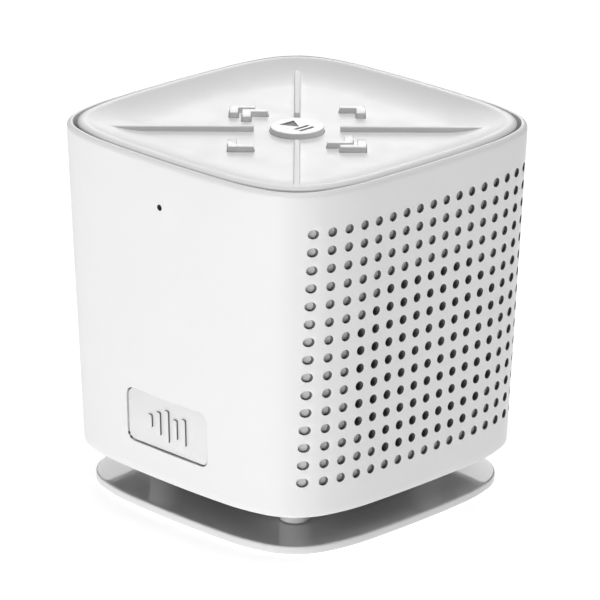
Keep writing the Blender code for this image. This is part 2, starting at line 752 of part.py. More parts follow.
def radiator():
    """The bass radiator: a weighted plate on a rubber roll, its rim clamped to the bottom panel."""
    lip = BOTTOM_TOP + GAP
    roll_middle = RADIATOR_HOLE - GAP - ROLL_RADIUS
    outer = [(RADIATOR_RIM, lip)]
    inner = [(RADIATOR_RIM, lip + RUBBER)]
    for step in range(ROLL_STEPS + 1):
        turn = math.pi * step / ROLL_STEPS
        outer.append((roll_middle + ROLL_RADIUS * math.cos(turn), lip - ROLL_RADIUS * math.sin(turn)))
        small = ROLL_RADIUS - RUBBER
        inner.append((roll_middle + small * math.cos(turn), lip + RUBBER - ROLL_RADIUS * math.sin(turn)))
    outer.append((RADIATOR_WEIGHT + GAP, lip))
    inner.append((RADIATOR_WEIGHT + GAP, lip + RUBBER))
    turned("radiator_surround", list(reversed(inner)) + outer, BLACK_RUBBER, steps=RADIATOR_STEPS)
    clamp = lip + RUBBER + GAP
    ring_top = clamp + RING_THICK
    tube("radiator_ring", RADIATOR_RIM, RADIATOR_HOLE + GAP, clamp, ring_top, GREY_PLASTIC, steps=RADIATOR_STEPS)
    profile = [
        (0.0, clamp + DISC_THICK),
        (RADIATOR_PLATE, clamp + DISC_THICK),
        (RADIATOR_PLATE, clamp),
        (RADIATOR_WEIGHT, clamp),
        (RADIATOR_WEIGHT, BOTTOM_TOP - RUBBER),
        (0.0, BOTTOM_TOP - RUBBER),
    ]
    turned("radiator_plate", profile, BLACK_PLASTIC, steps=RADIATOR_STEPS, ring=False)


def corner_screws():
    """The screws that hold the bottom panel to the housing's corner bosses."""
    low = BOTTOM_Z + HEAD_SET_IN
    profile = screw_profile(low, low + SCREW_LENGTH)
    for name, place in corners(CORNER_BOSS_PLACE):
        turned(f"corner_screw_{name}", profile, STEEL, steps=SMALL_STEPS, ring=False).location = place


def base():
    """The foot plate with its countersinks and pad recesses, the posts, their screws and the pads."""
    section = [
        (PLATE_ROUND, PLATE_Z),
        (0.0, PLATE_Z + PLATE_ROUND),
        (0.0, PLATE_TOP - PLATE_ROUND),
        (PLATE_ROUND, PLATE_TOP),
    ]
    plate = loft("base_plate", [outline(PLATE_HALF, z, inset) for inset, z in section], GLOSS_WHITE)
    recess_top = PLATE_Z + PAD_RECESS
    head_low = recess_top + HEAD_SET_IN
    hole = screw_hole(head_low, PLATE_TOP + GAP, recess_top - HEAD_SET_IN)
    screw = screw_profile(head_low, BOTTOM_TOP + 0.8 * POST_BOSS_LENGTH)
    post_low = PLATE_TOP + GAP
    post_high = BOTTOM_Z - GAP
    bore = SCREW_RADIUS + SCREW_CLEARANCE
    post = [
        (bore, post_high),
        (POST_TOP_RADIUS, post_high),
        (POST_FOOT_RADIUS, post_low + PLATE_ROUND),
        (POST_FOOT_RADIUS - PLATE_ROUND, post_low),
        (bore, post_low),
    ]
    pad_high = PAD_THICK
    pad = [(0.0, pad_high), (PAD_RADIUS, pad_high), (PAD_RADIUS, GAP), (PAD_RADIUS - GAP, 0.0), (0.0, 0.0)]
    for name, place in corners(POST_PLACE):
        recess = rod(f"pad_recess_{name}", PAD_RADIUS + GAP, PLATE_Z - GAP, recess_top, steps=16)
        recess.location = place
        combine(plate, recess)
        sink = turned(f"post_screw_hole_{name}", hole, steps=SMALL_STEPS, ring=False)
        sink.location = place
        combine(plate, sink)
        turned(f"post_{name}", post, SATIN_WHITE, steps=16).location = place
        turned(f"post_screw_{name}", screw, STEEL, steps=SMALL_STEPS, ring=False).location = place
        turned(f"foot_pad_{name}", pad, BLACK_RUBBER, steps=16, ring=False).location = place


def bow_depth(distance):
    """How far the inside of a face falls back from its centre line at a distance from it."""
    half = half_at(GRILLE_Z)
    for (centre, radius), last_turn in zip(arc_centres(half), (FACE_TURN, SHOULDER_TURN, math.pi / 4)):
        heading = math.asin((distance - centre.y) / (radius - WALL))
        if heading <= last_turn:
            break
    return half - WALL - centre.x - (radius - WALL) * math.cos(heading)


def driver(side, heading):
    """One driver, built along the +Z of an empty on the inside of the wall."""
    frame = wall_frame(f"{side}_driver_axis", heading, GRILLE_Z, WALL)
    gasket_top = -bow_depth(DRIVER_RADIUS) - GAP
    gasket_low = gasket_top - GASKET_THICK
    tube(f"{side}_gasket", DRIVER_RADIUS, DRIVER_RADIUS - GASKET_WIDTH, gasket_low, gasket_top, FOAM, frame)
    flange = gasket_low - GAP
    lip_radius = DRIVER_RADIUS - GASKET_WIDTH - GAP
    roll_outer = lip_radius - SURROUND_LIP
    roll_middle = roll_outer - SURROUND_ROLL
    cone_edge = roll_middle - SURROUND_ROLL
    basket_inner = roll_outer - GAP
    plate_inner = COIL_RADIUS + CONE_THICK + GAP + COIL_THICK + 2 * GAP
    cone_low = flange - CONE_DEPTH
    basket_low = flange - BASKET_DEPTH
    basket = [
        (basket_inner, flange),
        (DRIVER_RADIUS, flange),
        (DRIVER_RADIUS, flange - BASKET_FLANGE),
        (basket_inner + BASKET_WALL, flange - BASKET_FLANGE),
        (MAGNET_RADIUS - METAL_INSET, basket_low),
        (plate_inner, basket_low),
        (plate_inner, basket_low + BASKET_WALL),
        (MAGNET_RADIUS - METAL_INSET - BASKET_WALL, basket_low + BASKET_WALL),
    ]
    turned(f"{side}_basket", basket, STEEL, frame)
    surround(f"{side}_surround", frame, flange, (lip_radius, roll_middle, cone_edge - SURROUND_LIP))
    cone(f"{side}_cone", frame, flange, cone_edge, cone_low)
    former_low = cone_low - FORMER_LENGTH
    coil_inner = COIL_RADIUS + CONE_THICK + GAP
    coil_top = former_low + COIL_LENGTH
    tube(f"{side}_voice_coil", coil_inner + COIL_THICK, coil_inner, former_low, coil_top, COPPER, frame)
    magnet_top = basket_low - GAP
    magnet_mid = magnet_top - FRONT_PLATE_THICK
    magnet_low = magnet_mid - MAGNET_THICK
    magnet = [
        (plate_inner, magnet_top),
        (MAGNET_RADIUS - METAL_INSET, magnet_top),
        (MAGNET_RADIUS - METAL_INSET, magnet_mid),
        (MAGNET_RADIUS, magnet_mid),
        (MAGNET_RADIUS, magnet_low),
        (plate_inner + METAL_INSET, magnet_low),
        (plate_inner + METAL_INSET, magnet_mid),
        (plate_inner, magnet_mid),
    ]
    turned(f"{side}_magnet", magnet, FERRITE, frame)
    pole = COIL_RADIUS - GAP
    yoke_top = magnet_low - GAP
    yoke = [
        (0.0, magnet_top + CONE_TRAVEL),
        (pole, magnet_top + CONE_TRAVEL),
        (pole, yoke_top),
        (MAGNET_RADIUS - METAL_INSET, yoke_top),
        (MAGNET_RADIUS - METAL_INSET, yoke_top - YOKE_THICK),
        (0.0, yoke_top - YOKE_THICK),
    ]
    turned(f"{side}_yoke", yoke, STEEL, frame, ring=False)


def surround(name, frame, flange, radii):
    """The rubber roll between the basket and the cone, rolled outwards."""
    outer_edge, middle, inner_edge = radii
    low = flange + GAP
    top = [(inner_edge, low + RUBBER)]
    under = [(inner_edge, low)]
    for step in range(ROLL_STEPS + 1):
        turn = math.pi - math.pi * step / ROLL_STEPS
        top.append((middle + SURROUND_ROLL * math.cos(turn), low + RUBBER + SURROUND_ROLL * math.sin(turn)))
        small = SURROUND_ROLL - RUBBER
        under.append((middle + small * math.cos(turn), low + SURROUND_ROLL * math.sin(turn)))
    top.append((outer_edge, low + RUBBER))
    under.append((outer_edge, low))
    turned(name, top + list(reversed(under)), BLACK_RUBBER, frame)


def cone(name, frame, edge_top, edge_radius, neck_z):
    """The cone with its dust cap and the coil former behind it, as one turned piece."""
    outer = COIL_RADIUS + CONE_THICK
    profile = [
        (0.0, neck_z + CAP_RISE),
        (0.5 * outer, neck_z + 0.82 * CAP_RISE),
        (outer - CONE_THICK, neck_z + 0.27 * CAP_RISE),
        (edge_radius - 2 * CONE_THICK, edge_top),
        (edge_radius, edge_top),
        (edge_radius, edge_top - CONE_THICK),
        (outer, neck_z),
        (outer, neck_z - FORMER_LENGTH),
        (COIL_RADIUS, neck_z - FORMER_LENGTH),
        (COIL_RADIUS, neck_z),
        (0.5 * outer, neck_z + 0.61 * CAP_RISE),
        (0.0, neck_z + 0.79 * CAP_RISE),
    ]
    turned(name, profile, PAPER, frame, ring=False)


def rear_cutters():
    """Openings in the rear wall for the sockets, the switch's knob and the light pipe."""
    low = half_at(PORT_Z) - WALL - CUT_OVERRUN
    high = TOP_HALF
    middle = (low + high) / 2
    usb = (USB_WIDTH + 2 * GAP, high - low, USB_HEIGHT + 2 * GAP)
    yield block("usb_opening", usb, (USB_X, middle, PORT_Z), corner=USB_CORNER, along="Y")
    slot = (SLIDER_WIDTH + SLIDER_TRAVEL + 2 * GAP, high - low, SLIDER_HEIGHT + 2 * GAP)
    yield block("slider_opening", slot, (SWITCH_X, middle, PORT_Z))
    yield rear_rod("aux_opening", AUX_NOSE_RADIUS + GAP, AUX_X, PORT_Z, low, high)
    yield rear_rod("light_opening", LIGHT_RADIUS + GAP, LIGHT_X, PORT_Z, low, high)


def rear_block(name, size, x, low, finish, z=PORT_Z):
    """A box whose front face stands at a depth, reaching back along +Y."""
    return block(name, size, (x, low + size[1] / 2, z), finish)


def rear_fittings():
    """The main board and what sits on it: sockets, switch with its knob, light pipe and radio shield."""
    height = MAIN_BOARD_HIGH - MAIN_BOARD_LOW
    middle = (MAIN_BOARD_HIGH + MAIN_BOARD_LOW) / 2
    size = (2 * MAIN_BOARD_HALF, BOARD_THICK, height)
    board = rear_block("main_board", size, 0.0, MAIN_BOARD_Y, BOARD_GREEN, middle)
    board_back = MAIN_BOARD_Y + BOARD_THICK
    for side in (-1, 1):
        hole = rear_rod(
            f"main_board_hole_{side}",
            STAKE_PIN + GAP,
            side * BOARD_STAKE_X,
            BOARD_STAKE_Z,
            MAIN_BOARD_Y - GAP,
            board_back + GAP,
        )
        combine(board, hole)
    seat = board_back + GAP
    outer_y = half_at(PORT_Z) - SOCKET_SET_BACK
    usb(seat, outer_y)
    aux(seat, outer_y)
    rear_block("power_switch", (SWITCH_WIDTH, SWITCH_DEPTH, SWITCH_HEIGHT), SWITCH_X, seat, STEEL)
    knob_y = seat + SWITCH_DEPTH + GAP
    knob_x = SWITCH_X - SLIDER_TRAVEL / 2
    reach = half_at(PORT_Z) + SLIDER_PROUD - knob_y
    knob = rear_block("power_slider", (SLIDER_WIDTH, reach, SLIDER_HEIGHT), knob_x, knob_y, GREY_PLASTIC)
    collar = rear_block("slider_collar", (COLLAR_WIDTH, COLLAR_THICK, COLLAR_HEIGHT), knob_x, knob_y, None)
    combine(knob, collar, "UNION")
    rear_rod("light_pipe", LIGHT_RADIUS, LIGHT_X, PORT_Z, seat, half_at(PORT_Z) - HEAD_SET_IN, CLEAR)
    shield = (SHIELD_WIDTH, SHIELD_THICK, SHIELD_HEIGHT)
    rear_block("radio_shield", shield, 0.0, MAIN_BOARD_Y - GAP - shield[1], STEEL, SHIELD_Z)


def usb(seat, outer_y):
    """The charging socket: a thin-walled shell, open outwards, with its tongue inside."""
    depth = outer_y - seat
    shell = rear_block("usb_socket", (USB_WIDTH, depth, USB_HEIGHT), USB_X, seat, STEEL)
    hollow = (USB_WIDTH - 2 * USB_WALL, depth, USB_HEIGHT - 2 * USB_WALL)
    combine(shell, rear_block("usb_hollow", hollow, USB_X, seat + 3 * USB_WALL, None))
    tongue = (TONGUE_WIDTH, depth - 4 * USB_WALL, TONGUE_THICK)
    combine(shell, rear_block("usb_tongue", tongue, USB_X, seat + 2 * USB_WALL, None), "UNION")


def aux(seat, outer_y):
    """The headphone-size input: a square body with a round nose in the wall."""
    body = rear_block("aux_socket", (AUX_BODY, AUX_BODY_DEPTH, AUX_BODY_HEIGHT), AUX_X, seat, BLACK_PLASTIC)
    nose = rear_rod("aux_nose", AUX_NOSE_RADIUS, AUX_X, PORT_Z, seat + AUX_BODY_DEPTH / 2, outer_y, steps=16)
    combine(body, nose, "UNION")
    bore_end = seat + SOCKET_FLOOR
    combine(body, rear_rod("aux_bore", AUX_BORE_RADIUS, AUX_X, PORT_Z, bore_end, outer_y + GAP, steps=16))


def microphone():
    """The microphone capsule in its rubber boot, behind its hole in the front wall."""
    face = -(half_at(MIC_Z) - WALL - GAP - (MIC_BOOT_RADIUS * math.sin(TAPER)))
    floor = face + MIC_BOOT_FLOOR
    boot = rear_rod("mic_boot", MIC_BOOT_RADIUS, 0.0, MIC_Z, face, face + MIC_BOOT_LENGTH, BLACK_RUBBER)
    combine(boot, rear_rod("mic_pocket", MIC_RADIUS + GAP, 0.0, MIC_Z, floor, face + MIC_BOOT_LENGTH + GAP))
    combine(boot, rear_rod("mic_port", MIC_HOLE_RADIUS, 0.0, MIC_Z, face - GAP, floor + GAP))
    rear_rod("mic_capsule", MIC_RADIUS, 0.0, MIC_Z, floor + GAP, floor + GAP + MIC_LENGTH, STEEL)


def battery():
    """The cell and the cradle it lies in, whose feet stand on the bottom panel."""
    half = CELL_LENGTH / 2
    rear_rod("battery_cell", CELL_RADIUS, 0.0, CELL_Z, -half, half, CELL_SLEEVE, steps=16)
    ends = (-CRADLE_HALF, CRADLE_HALF)
    cradle = rear_rod("battery_cradle", CRADLE_RADIUS, 0.0, CELL_Z, *ends, GREY_PLASTIC, steps=16)
    foot_low = BOTTOM_TOP + GAP
    for side in (-1, 1):
        height = CELL_Z - CELL_RADIUS - foot_low
        place = (0.0, side * (CRADLE_HALF - CRADLE_FOOT / 2), foot_low + height / 2)
        combine(cradle, block(f"cradle_foot_{side}", (CRADLE_FOOT_WIDTH, CRADLE_FOOT, height), place), "UNION")
    trough = CELL_RADIUS + GAP
    past = (-CRADLE_HALF - GAP, CRADLE_HALF + GAP)
    combine(cradle, rear_rod("cradle_hollow", trough, 0.0, CELL_Z, *past, steps=16))
    size = (3 * CRADLE_RADIUS, 3 * CRADLE_HALF, 2 * CRADLE_RADIUS)
    lift = size[2] / 2 - CRADLE_FOOT_BITE
    combine(cradle, block("cradle_top", size, (0.0, 0.0, CELL_Z + lift)))


housing()
top_panel()
keys()
key_board()
badge()
bottom_panel()
radiator()
corner_screws()
base()
driver("right", 0.0)
driver("left", math.pi)
rear_fittings()
microphone()
battery()
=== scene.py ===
# %% [markdown]
# # A cube speaker on a glossy plate
#
# The speaker is a white moulded cube with bowed faces, a dished key panel let into its top, a grid of
# holes on two sides and a thin polished plate below it on four short posts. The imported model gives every
# place and every moving part. Here each surface that can be seen is built again with its real detail, and
# every part gets a finish of its own.

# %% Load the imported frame
import json
import math

import bmesh
import bpy
from mathutils import Matrix, Vector

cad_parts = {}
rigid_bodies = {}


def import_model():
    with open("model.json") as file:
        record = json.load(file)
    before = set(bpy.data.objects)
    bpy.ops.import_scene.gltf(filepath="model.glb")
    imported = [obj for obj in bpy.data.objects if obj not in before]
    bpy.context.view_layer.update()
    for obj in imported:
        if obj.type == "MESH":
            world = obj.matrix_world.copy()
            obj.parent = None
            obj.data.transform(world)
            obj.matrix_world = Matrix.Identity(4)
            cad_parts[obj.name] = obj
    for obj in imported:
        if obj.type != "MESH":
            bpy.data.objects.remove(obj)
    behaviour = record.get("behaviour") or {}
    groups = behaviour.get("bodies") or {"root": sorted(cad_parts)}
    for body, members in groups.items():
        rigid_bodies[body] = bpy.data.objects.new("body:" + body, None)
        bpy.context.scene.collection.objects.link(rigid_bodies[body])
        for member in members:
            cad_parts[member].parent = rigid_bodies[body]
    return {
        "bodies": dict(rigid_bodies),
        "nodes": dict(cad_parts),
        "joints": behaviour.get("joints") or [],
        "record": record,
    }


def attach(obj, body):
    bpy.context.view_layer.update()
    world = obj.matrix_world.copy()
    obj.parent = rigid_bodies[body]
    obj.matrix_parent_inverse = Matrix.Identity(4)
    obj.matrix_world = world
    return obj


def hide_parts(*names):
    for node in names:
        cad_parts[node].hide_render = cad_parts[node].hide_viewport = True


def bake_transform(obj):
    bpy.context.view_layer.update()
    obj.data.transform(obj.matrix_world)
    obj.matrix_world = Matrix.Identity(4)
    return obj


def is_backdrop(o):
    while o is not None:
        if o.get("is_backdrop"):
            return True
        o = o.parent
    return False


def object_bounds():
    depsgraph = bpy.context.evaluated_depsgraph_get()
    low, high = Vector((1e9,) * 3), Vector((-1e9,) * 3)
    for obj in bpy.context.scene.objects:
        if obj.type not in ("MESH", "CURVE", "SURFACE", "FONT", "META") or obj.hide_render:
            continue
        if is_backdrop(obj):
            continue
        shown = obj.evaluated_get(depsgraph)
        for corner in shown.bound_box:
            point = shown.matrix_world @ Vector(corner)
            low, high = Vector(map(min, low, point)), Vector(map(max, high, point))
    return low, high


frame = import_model()
CAD_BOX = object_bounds()
NODES = frame["nodes"]
CASE = "case"

# %% [markdown]
# ## The camera
#
# A small object is best shown with a long lens from about a metre away, so that its edges stay almost
# parallel. The camera looks at the corner between the front and the right side, from 20 degrees above.
# Its roll is under a third of a degree, set by turning its own axes.

# %% Camera
AIM = Vector((0.000573, 0.000573, 0.04201))
DISTANCE = 0.9984
LENS = 274.53
ROLL = math.radians(0.289)


def way_to(heading, height):
    """The direction of a heading, counted from the front towards the right, at a height in degrees."""
    turn, rise = math.radians(heading), math.radians(height)
    return Vector((math.sin(turn) * math.cos(rise), -math.cos(turn) * math.cos(rise), math.sin(rise)))


away = way_to(45, 19.923)
camera = bpy.data.objects.new("camera", bpy.data.cameras.new("camera"))
bpy.context.scene.collection.objects.link(camera)
camera.data.sensor_width = 36
camera.data.lens = LENS
camera.data.clip_start = 0.05
camera.location = AIM + DISTANCE * away
facing = (AIM - camera.location).to_track_quat("-Z", "Y").to_matrix()
camera.rotation_euler = (facing @ Matrix.Rotation(ROLL, 3, "Z")).to_euler()
bpy.context.scene.camera = camera
print("camera at", [round(value, 3) for value in camera.location])

# %% [markdown]
# ## Finishes
#
# White plastic looks dead with one flat colour. A moulded surface has a fine spark-eroded grain, a slight
# unevenness in its gloss and almost no change of colour, so each plastic here mixes a large soft noise into
# its roughness and a very fine one into its bump. Every pattern reads Object coordinates, which are metres
# here, so a noise scale of 1000 gives features of about a millimetre.


# %% Node helpers
def fill(node, values):
    """Sets some of a node's inputs by name."""
    for name, value in values.items():
        node.inputs[name].default_value = value
    return node


def new_finish(name):
    """A material with its node tree, Principled shader and Object coordinates."""
    made = bpy.data.materials.new(name)
    made.use_nodes = True
    tree = made.node_tree
    return made, tree, tree.nodes["Principled BSDF"], tree.nodes.new("ShaderNodeTexCoord").outputs["Object"]


def pattern(tree, kind, where, values):
    """A node of some kind that reads the coordinates."""
    node = fill(tree.nodes.new(f"ShaderNode{kind}"), values)
    tree.links.new(where, node.inputs["Vector"])
    return node


def noise(tree, where, scale, detail=2.0, rough=0.5):
    """The grey output of a noise texture."""
    values = {"Scale": scale, "Detail": detail, "Roughness": rough}
    return pattern(tree, "TexNoise", where, values).outputs["Fac"]


def stretched(tree, where, scale):
    """The coordinates scaled differently along each axis, for grain that runs one way."""
    return pattern(tree, "Mapping", where, {"Scale": scale}).outputs["Vector"]


# %% [markdown]
# A noise texture hardly leaves the range from 0.3 to 0.7, so that is the range which is spread over the
# gloss and the colour. Bump takes its relief as a real height in metres.

# %% From a pattern to gloss, colour and relief
USED_RANGE = (0.3, 0.7)


def spread(tree, value, gloss):
    """The value's used range brought to a range of roughness."""
    low, high = USED_RANGE
    ranges = {"From Min": low, "From Max": high, "To Min": gloss[0], "To Max": gloss[1]}
    node = fill(tree.nodes.new("ShaderNodeMapRange"), ranges)
    tree.links.new(value, node.inputs["Value"])
    return node.outputs["Result"]


def tint(tree, value, colours):
    """A colour that runs from the first to the second over the value's used range."""
    ramp = tree.nodes.new("ShaderNodeValToRGB")
    for stop, position, colour in zip(ramp.color_ramp.elements, USED_RANGE, colours):
        stop.position = position
        stop.color = (*colour, 1)
    tree.links.new(value, ramp.inputs["Fac"])
    return ramp.outputs["Color"]


def coat(tree, shader, colour, gloss, height, relief):
    """Links a colour and a roughness to the shader, and a height to its normal."""
    node = fill(tree.nodes.new("ShaderNodeBump"), {"Distance": relief, "Strength": 1.0})
    wanted = [(height, node.inputs["Height"]), (node.outputs["Normal"], shader.inputs["Normal"])]
    wanted += [(colour, shader.inputs["Base Color"]), (gloss, shader.inputs["Roughness"])]
    for source, target in wanted:
        if source:
            tree.links.new(source, target)


def moulded(name, shade, gloss, grain=3000, relief=0.000006, drift=0.03, specular=0.5):
    """A moulded plastic: a colour with a faint drift, an uneven gloss and a fine grain."""
    made, tree, shader, where = new_finish(name)
    darker = [channel * (1 - drift) for channel in shade]
    colour = tint(tree, noise(tree, where, 60, 3), (darker, shade))
    fine = noise(tree, where, grain, 2, 0.6)
    coat(tree, shader, colour, spread(tree, noise(tree, where, 220, 4), gloss), fine, relief)
    fill(shader, {"Specular IOR Level": specular})
    return made


# %% [markdown]
# The case and its posts are satin white. The foot plate's edge is polished white; its top inside the border
# and its underside get a barely darker glossy white as painted shade, with the faint waviness called orange
# peel. The keys are a touch glossier than the panel, because they are moulded in a polished tool. The walls
# and floors of the holes, the name plate's pocket and bars, the seam round the panel and the deep walls of
# the open holes get darker painted shade.

# %% White plastics, and painted shade for small hollows
WHITE = (0.87, 0.87, 0.87)
PLATE_GLOSS = (0.05, 0.09)
SATIN_WHITE = moulded("satin_white_case", WHITE, (0.38, 0.50), drift=0.012)
PANEL_WHITE = moulded("satin_white_panel", WHITE, (0.34, 0.44), drift=0.012)
KEY_WHITE = moulded("key_white", (0.88, 0.88, 0.88), (0.24, 0.34), 2200, 0.000003, 0.01)
PLATE_WHITE = moulded("polished_white", (0.84, 0.84, 0.84), PLATE_GLOSS, 420, 0.000002, 0.01)
# Painted shade: a barely darker glossy tone for the foot plate's top under the case and its underside.
SHEET_PAINTED_SHADE = moulded("glossy_sheet_painted_shade", (0.84, 0.84, 0.845), PLATE_GLOSS, 420, 0.000002, 0.02)
BADGE_WHITE = moulded("badge_white", (0.82, 0.82, 0.82), (0.26, 0.36), 2200, 0.000003, 0.01)
# Painted shade: a dark tone for the walls of holes, pockets and raised bars, and a grey tone for blind hole
# floors.
DARK_PAINTED_SHADE = moulded("dark_painted_shade", (0.13, 0.13, 0.13), (0.45, 0.60))
HOLE_FLOOR_PAINTED_SHADE = moulded("hole_floor_painted_shade", (0.66, 0.66, 0.66), (0.45, 0.60))
# Painted shade: a grey for the panel's faces in the seam gap.
SEAM_PAINTED_SHADE = moulded("seam_painted_shade", (0.36, 0.36, 0.36), (0.45, 0.60))
# Painted shade: a dark grey for the deep walls of the open holes, where little light reaches.
DEEP_HOLE_PAINTED_SHADE = moulded("deep_hole_painted_shade", (0.30, 0.30, 0.30), (0.8, 0.95), 1800, 0.00002, 0.4, 0.2)
PRINT_GREY = moulded("printed_grey", (0.13, 0.13, 0.135), (0.40, 0.55), 2500, 0.000004)
print("white plastics made")

# %% [markdown]
# The dark plastics inside and underneath have a coarser texture. Rubber is dark with a dusty, uneven gloss.
# Foam shows small round cells, which a Voronoi pattern gives.

# %% Dark plastics, rubber, foam
GREY_PLASTIC = moulded("grey_textured_plastic", (0.20, 0.20, 0.205), (0.45, 0.65), 1500, 0.000015, 0.1)
BLACK_PLASTIC = moulded("black_textured_plastic", (0.03, 0.03, 0.031), (0.40, 0.60), 1500, 0.000012, 0.2)
BLACK_RUBBER = moulded("black_rubber", (0.022, 0.022, 0.023), (0.62, 0.85), 1100, 0.000018, 0.3, 0.35)
SLEEVE_BLUE = moulded("cell_sleeve", (0.06, 0.17, 0.42), (0.18, 0.32), 260, 0.00001, 0.1)
FERRITE = moulded("sintered_ferrite", (0.07, 0.07, 0.08), (0.50, 0.75), 2600, 0.00002, 0.35)


def foam_finish():
    """Closed-cell foam, dark in its cells."""
    made, tree, shader, where = new_finish("black_foam")
    cells = pattern(tree, "TexVoronoi", where, {"Scale": 2600}).outputs["Distance"]
    fill(shader, {"Roughness": 0.95})
    coat(tree, shader, tint(tree, cells, ((0.03, 0.03, 0.03), (0.09, 0.09, 0.09))), None, cells, 0.00012)
    return made


FOAM = foam_finish()
print("dark plastics made")

# %% [markdown]
# The cones are pressed paper pulp, which shows short fibres. Noise stretched in two directions and mixed
# gives them without any drawing. The same stretched noise makes the scratches of a metal, and a wave
# pattern makes the close turns of a coil.


# %% Paper and metals
def paper_finish():
    """Pressed black paper with fibres in two directions."""
    made, tree, shader, where = new_finish("cone_paper")
    both = tree.nodes.new("ShaderNodeMath")
    both.operation = "MAXIMUM"
    for slot, way in enumerate(((1, 0.15, 1), (1, 1, 0.15))):
        tree.links.new(noise(tree, stretched(tree, where, way), 2600, 4, 0.7), both.inputs[slot])
    fibres = both.outputs["Value"]
    colour = tint(tree, fibres, ((0.02, 0.02, 0.022), (0.075, 0.072, 0.07)))
    coat(tree, shader, colour, spread(tree, fibres, (0.6, 0.85)), fibres, 0.00006)
    return made


def steel_finish():
    """Bright steel whose fine scratches run along one axis."""
    made, tree, shader, where = new_finish("bright_steel")
    shade = (0.62, 0.62, 0.63)
    grain = noise(tree, stretched(tree, where, (1, 1, 12)), 1500, 4, 0.7)
    colour = tint(tree, grain, ([channel * 0.8 for channel in shade], shade))
    fill(shader, {"Metallic": 1.0})
    coat(tree, shader, colour, spread(tree, grain, (0.22, 0.40)), grain, 0.000003)
    return made


def winding_finish():
    """Enamelled copper wire wound in close turns along the coil's axis."""
    made, tree, shader, where = new_finish("copper_winding")
    bands = pattern(tree, "TexWave", where, {"Scale": 1250, "Distortion": 0.4})
    bands.bands_direction = "X"
    turns = bands.outputs["Fac"]
    fill(shader, {"Metallic": 1.0, "Roughness": 0.3})
    coat(tree, shader, tint(tree, turns, ((0.30, 0.10, 0.04), (0.72, 0.33, 0.17))), None, turns, 0.00005)
    return made


PAPER = paper_finish()
STEEL = steel_finish()
COPPER = winding_finish()
print("paper and metals made")

# %% [markdown]
# The circuit boards are green solder mask over copper tracks. A brick pattern gives the straight tracks,
# raised a few hundredths of a millimetre. The light pipe is clear and slightly frosted.


# %% Boards and light guide
def board_finish():
    """Solder mask with the tracks showing through it."""
    made, tree, shader, where = new_finish("board_green")
    look = {"Scale": 260, "Mortar Size": 0.06, "Mortar": (0.030, 0.200, 0.090, 1)}
    look.update(Color1=(0.012, 0.105, 0.045, 1), Color2=(0.010, 0.090, 0.040, 1))
    tracks = pattern(tree, "TexBrick", stretched(tree, where, (1, 1, 1)), look)
    gloss = spread(tree, noise(tree, where, 500, 3), (0.25, 0.42))
    coat(tree, shader, tracks.outputs["Color"], gloss, tracks.outputs["Fac"], 0.00003)
    return made


def guide_finish():
    """Clear moulded plastic that carries light, a little frosted."""
    made, tree, shader, where = new_finish("light_guide")
    fill(shader, {"Base Color": (0.90, 0.95, 1.0, 1), "Transmission Weight": 0.85, "IOR": 1.49})
    frost = noise(tree, where, 1800, 3)
    coat(tree, shader, None, spread(tree, frost, (0.12, 0.28)), frost, 0.000006)
    return made


FINISH_OF = {
    "satin_white": SATIN_WHITE,
    "gloss_white": KEY_WHITE,
    "grey_plastic": GREY_PLASTIC,
    "black_plastic": BLACK_PLASTIC,
    "black_rubber": BLACK_RUBBER,
    "cone_paper": PAPER,
    "steel": STEEL,
    "ferrite": FERRITE,
    "copper": COPPER,
    "board_green": board_finish(),
    "cell_sleeve": SLEEVE_BLUE,
    "light_guide": guide_finish(),
    "foam": FOAM,
}
SLOT_OF = {part["node"]: part["material_slot"] for part in frame["record"]["subparts"]}
for node, obj in NODES.items():
    obj.data.materials.clear()
    obj.data.materials.append(FINISH_OF[SLOT_OF[node]])
print("finishes on", len(NODES), "nodes")

# %% [markdown]
# ## Making pieces
#
# A few helpers do the routine work. One turns a bmesh into a finished piece that rides on its body and
# stands for its CAD node. Edges sharper than 38 degrees stay crisp and the rest are smooth, which suits
# moulded parts. One applies a Boolean and throws the tool away. One gives some faces a second finish.

# %% Piece helpers
SHARP = math.radians(38)


def loose(name, bm):
    """An object made from a bmesh, linked to the scene."""
    mesh = bpy.data.meshes.new(name)
    bm.to_mesh(mesh)
    bm.free()
    made = bpy.data.objects.new(name, mesh)
    bpy.context.scene.collection.objects.link(made)
    return made


def shade(made):
    """Smooth shading, with the sharper edges kept crisp."""
    made.data.shade_smooth()
    made.data.set_sharp_from_angle(angle=SHARP)


def piece(name, bm, finish, node=None, body=CASE):
    """The finished piece: shaded, riding on its body, and standing for its CAD node."""
    made = loose(name, bm)
    made.data.materials.append(finish)
    shade(made)
    if node:
        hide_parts(node)
        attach(made, body)
    print(f"{name}: {len(made.data.polygons)} faces")
    return made


def carve(target, bm, operation="DIFFERENCE"):
    """Cuts a bmesh from the target, or joins it on."""
    step = target.modifiers.new("carve", "BOOLEAN")
    step.solver = "EXACT"
    step.operation = operation
    step.object = tool = loose("tool", bm)
    bpy.context.view_layer.update()
    result = bpy.data.meshes.new_from_object(target.evaluated_get(bpy.context.evaluated_depsgraph_get()))
    target.modifiers.clear()
    spent = target.data
    target.data = result
    bpy.data.meshes.remove(spent)
    result.name = target.name
    bpy.data.objects.remove(tool)
    shade(target)
    print(f"{target.name}: {len(result.polygons)} faces after {operation.lower()}")


def give_faces(made, finish, chosen):
    """A further finish on the faces that a test picks."""
    slots = made.data.materials
    if slots.find(finish.name) < 0:
        slots.append(finish)
    for face in made.data.polygons:
        if chosen(face):
            face.material_index = slots.find(finish.name)


# %% [markdown]
# Most small parts are turned: a profile of (radius, height) points is spun about Z. Boxes with bevelled
# edges make the rest. Both can be put in their place and added to a bmesh that is already there.


# %% Turned shapes
def joined(bm, more):
    """Adds one bmesh to another, or returns it when there is nothing to add to."""
    if bm is None:
        return more
    mesh = bpy.data.meshes.new("join")
    more.to_mesh(mesh)
    more.free()
    bm.from_mesh(mesh)
    bpy.data.meshes.remove(mesh)
    return bm


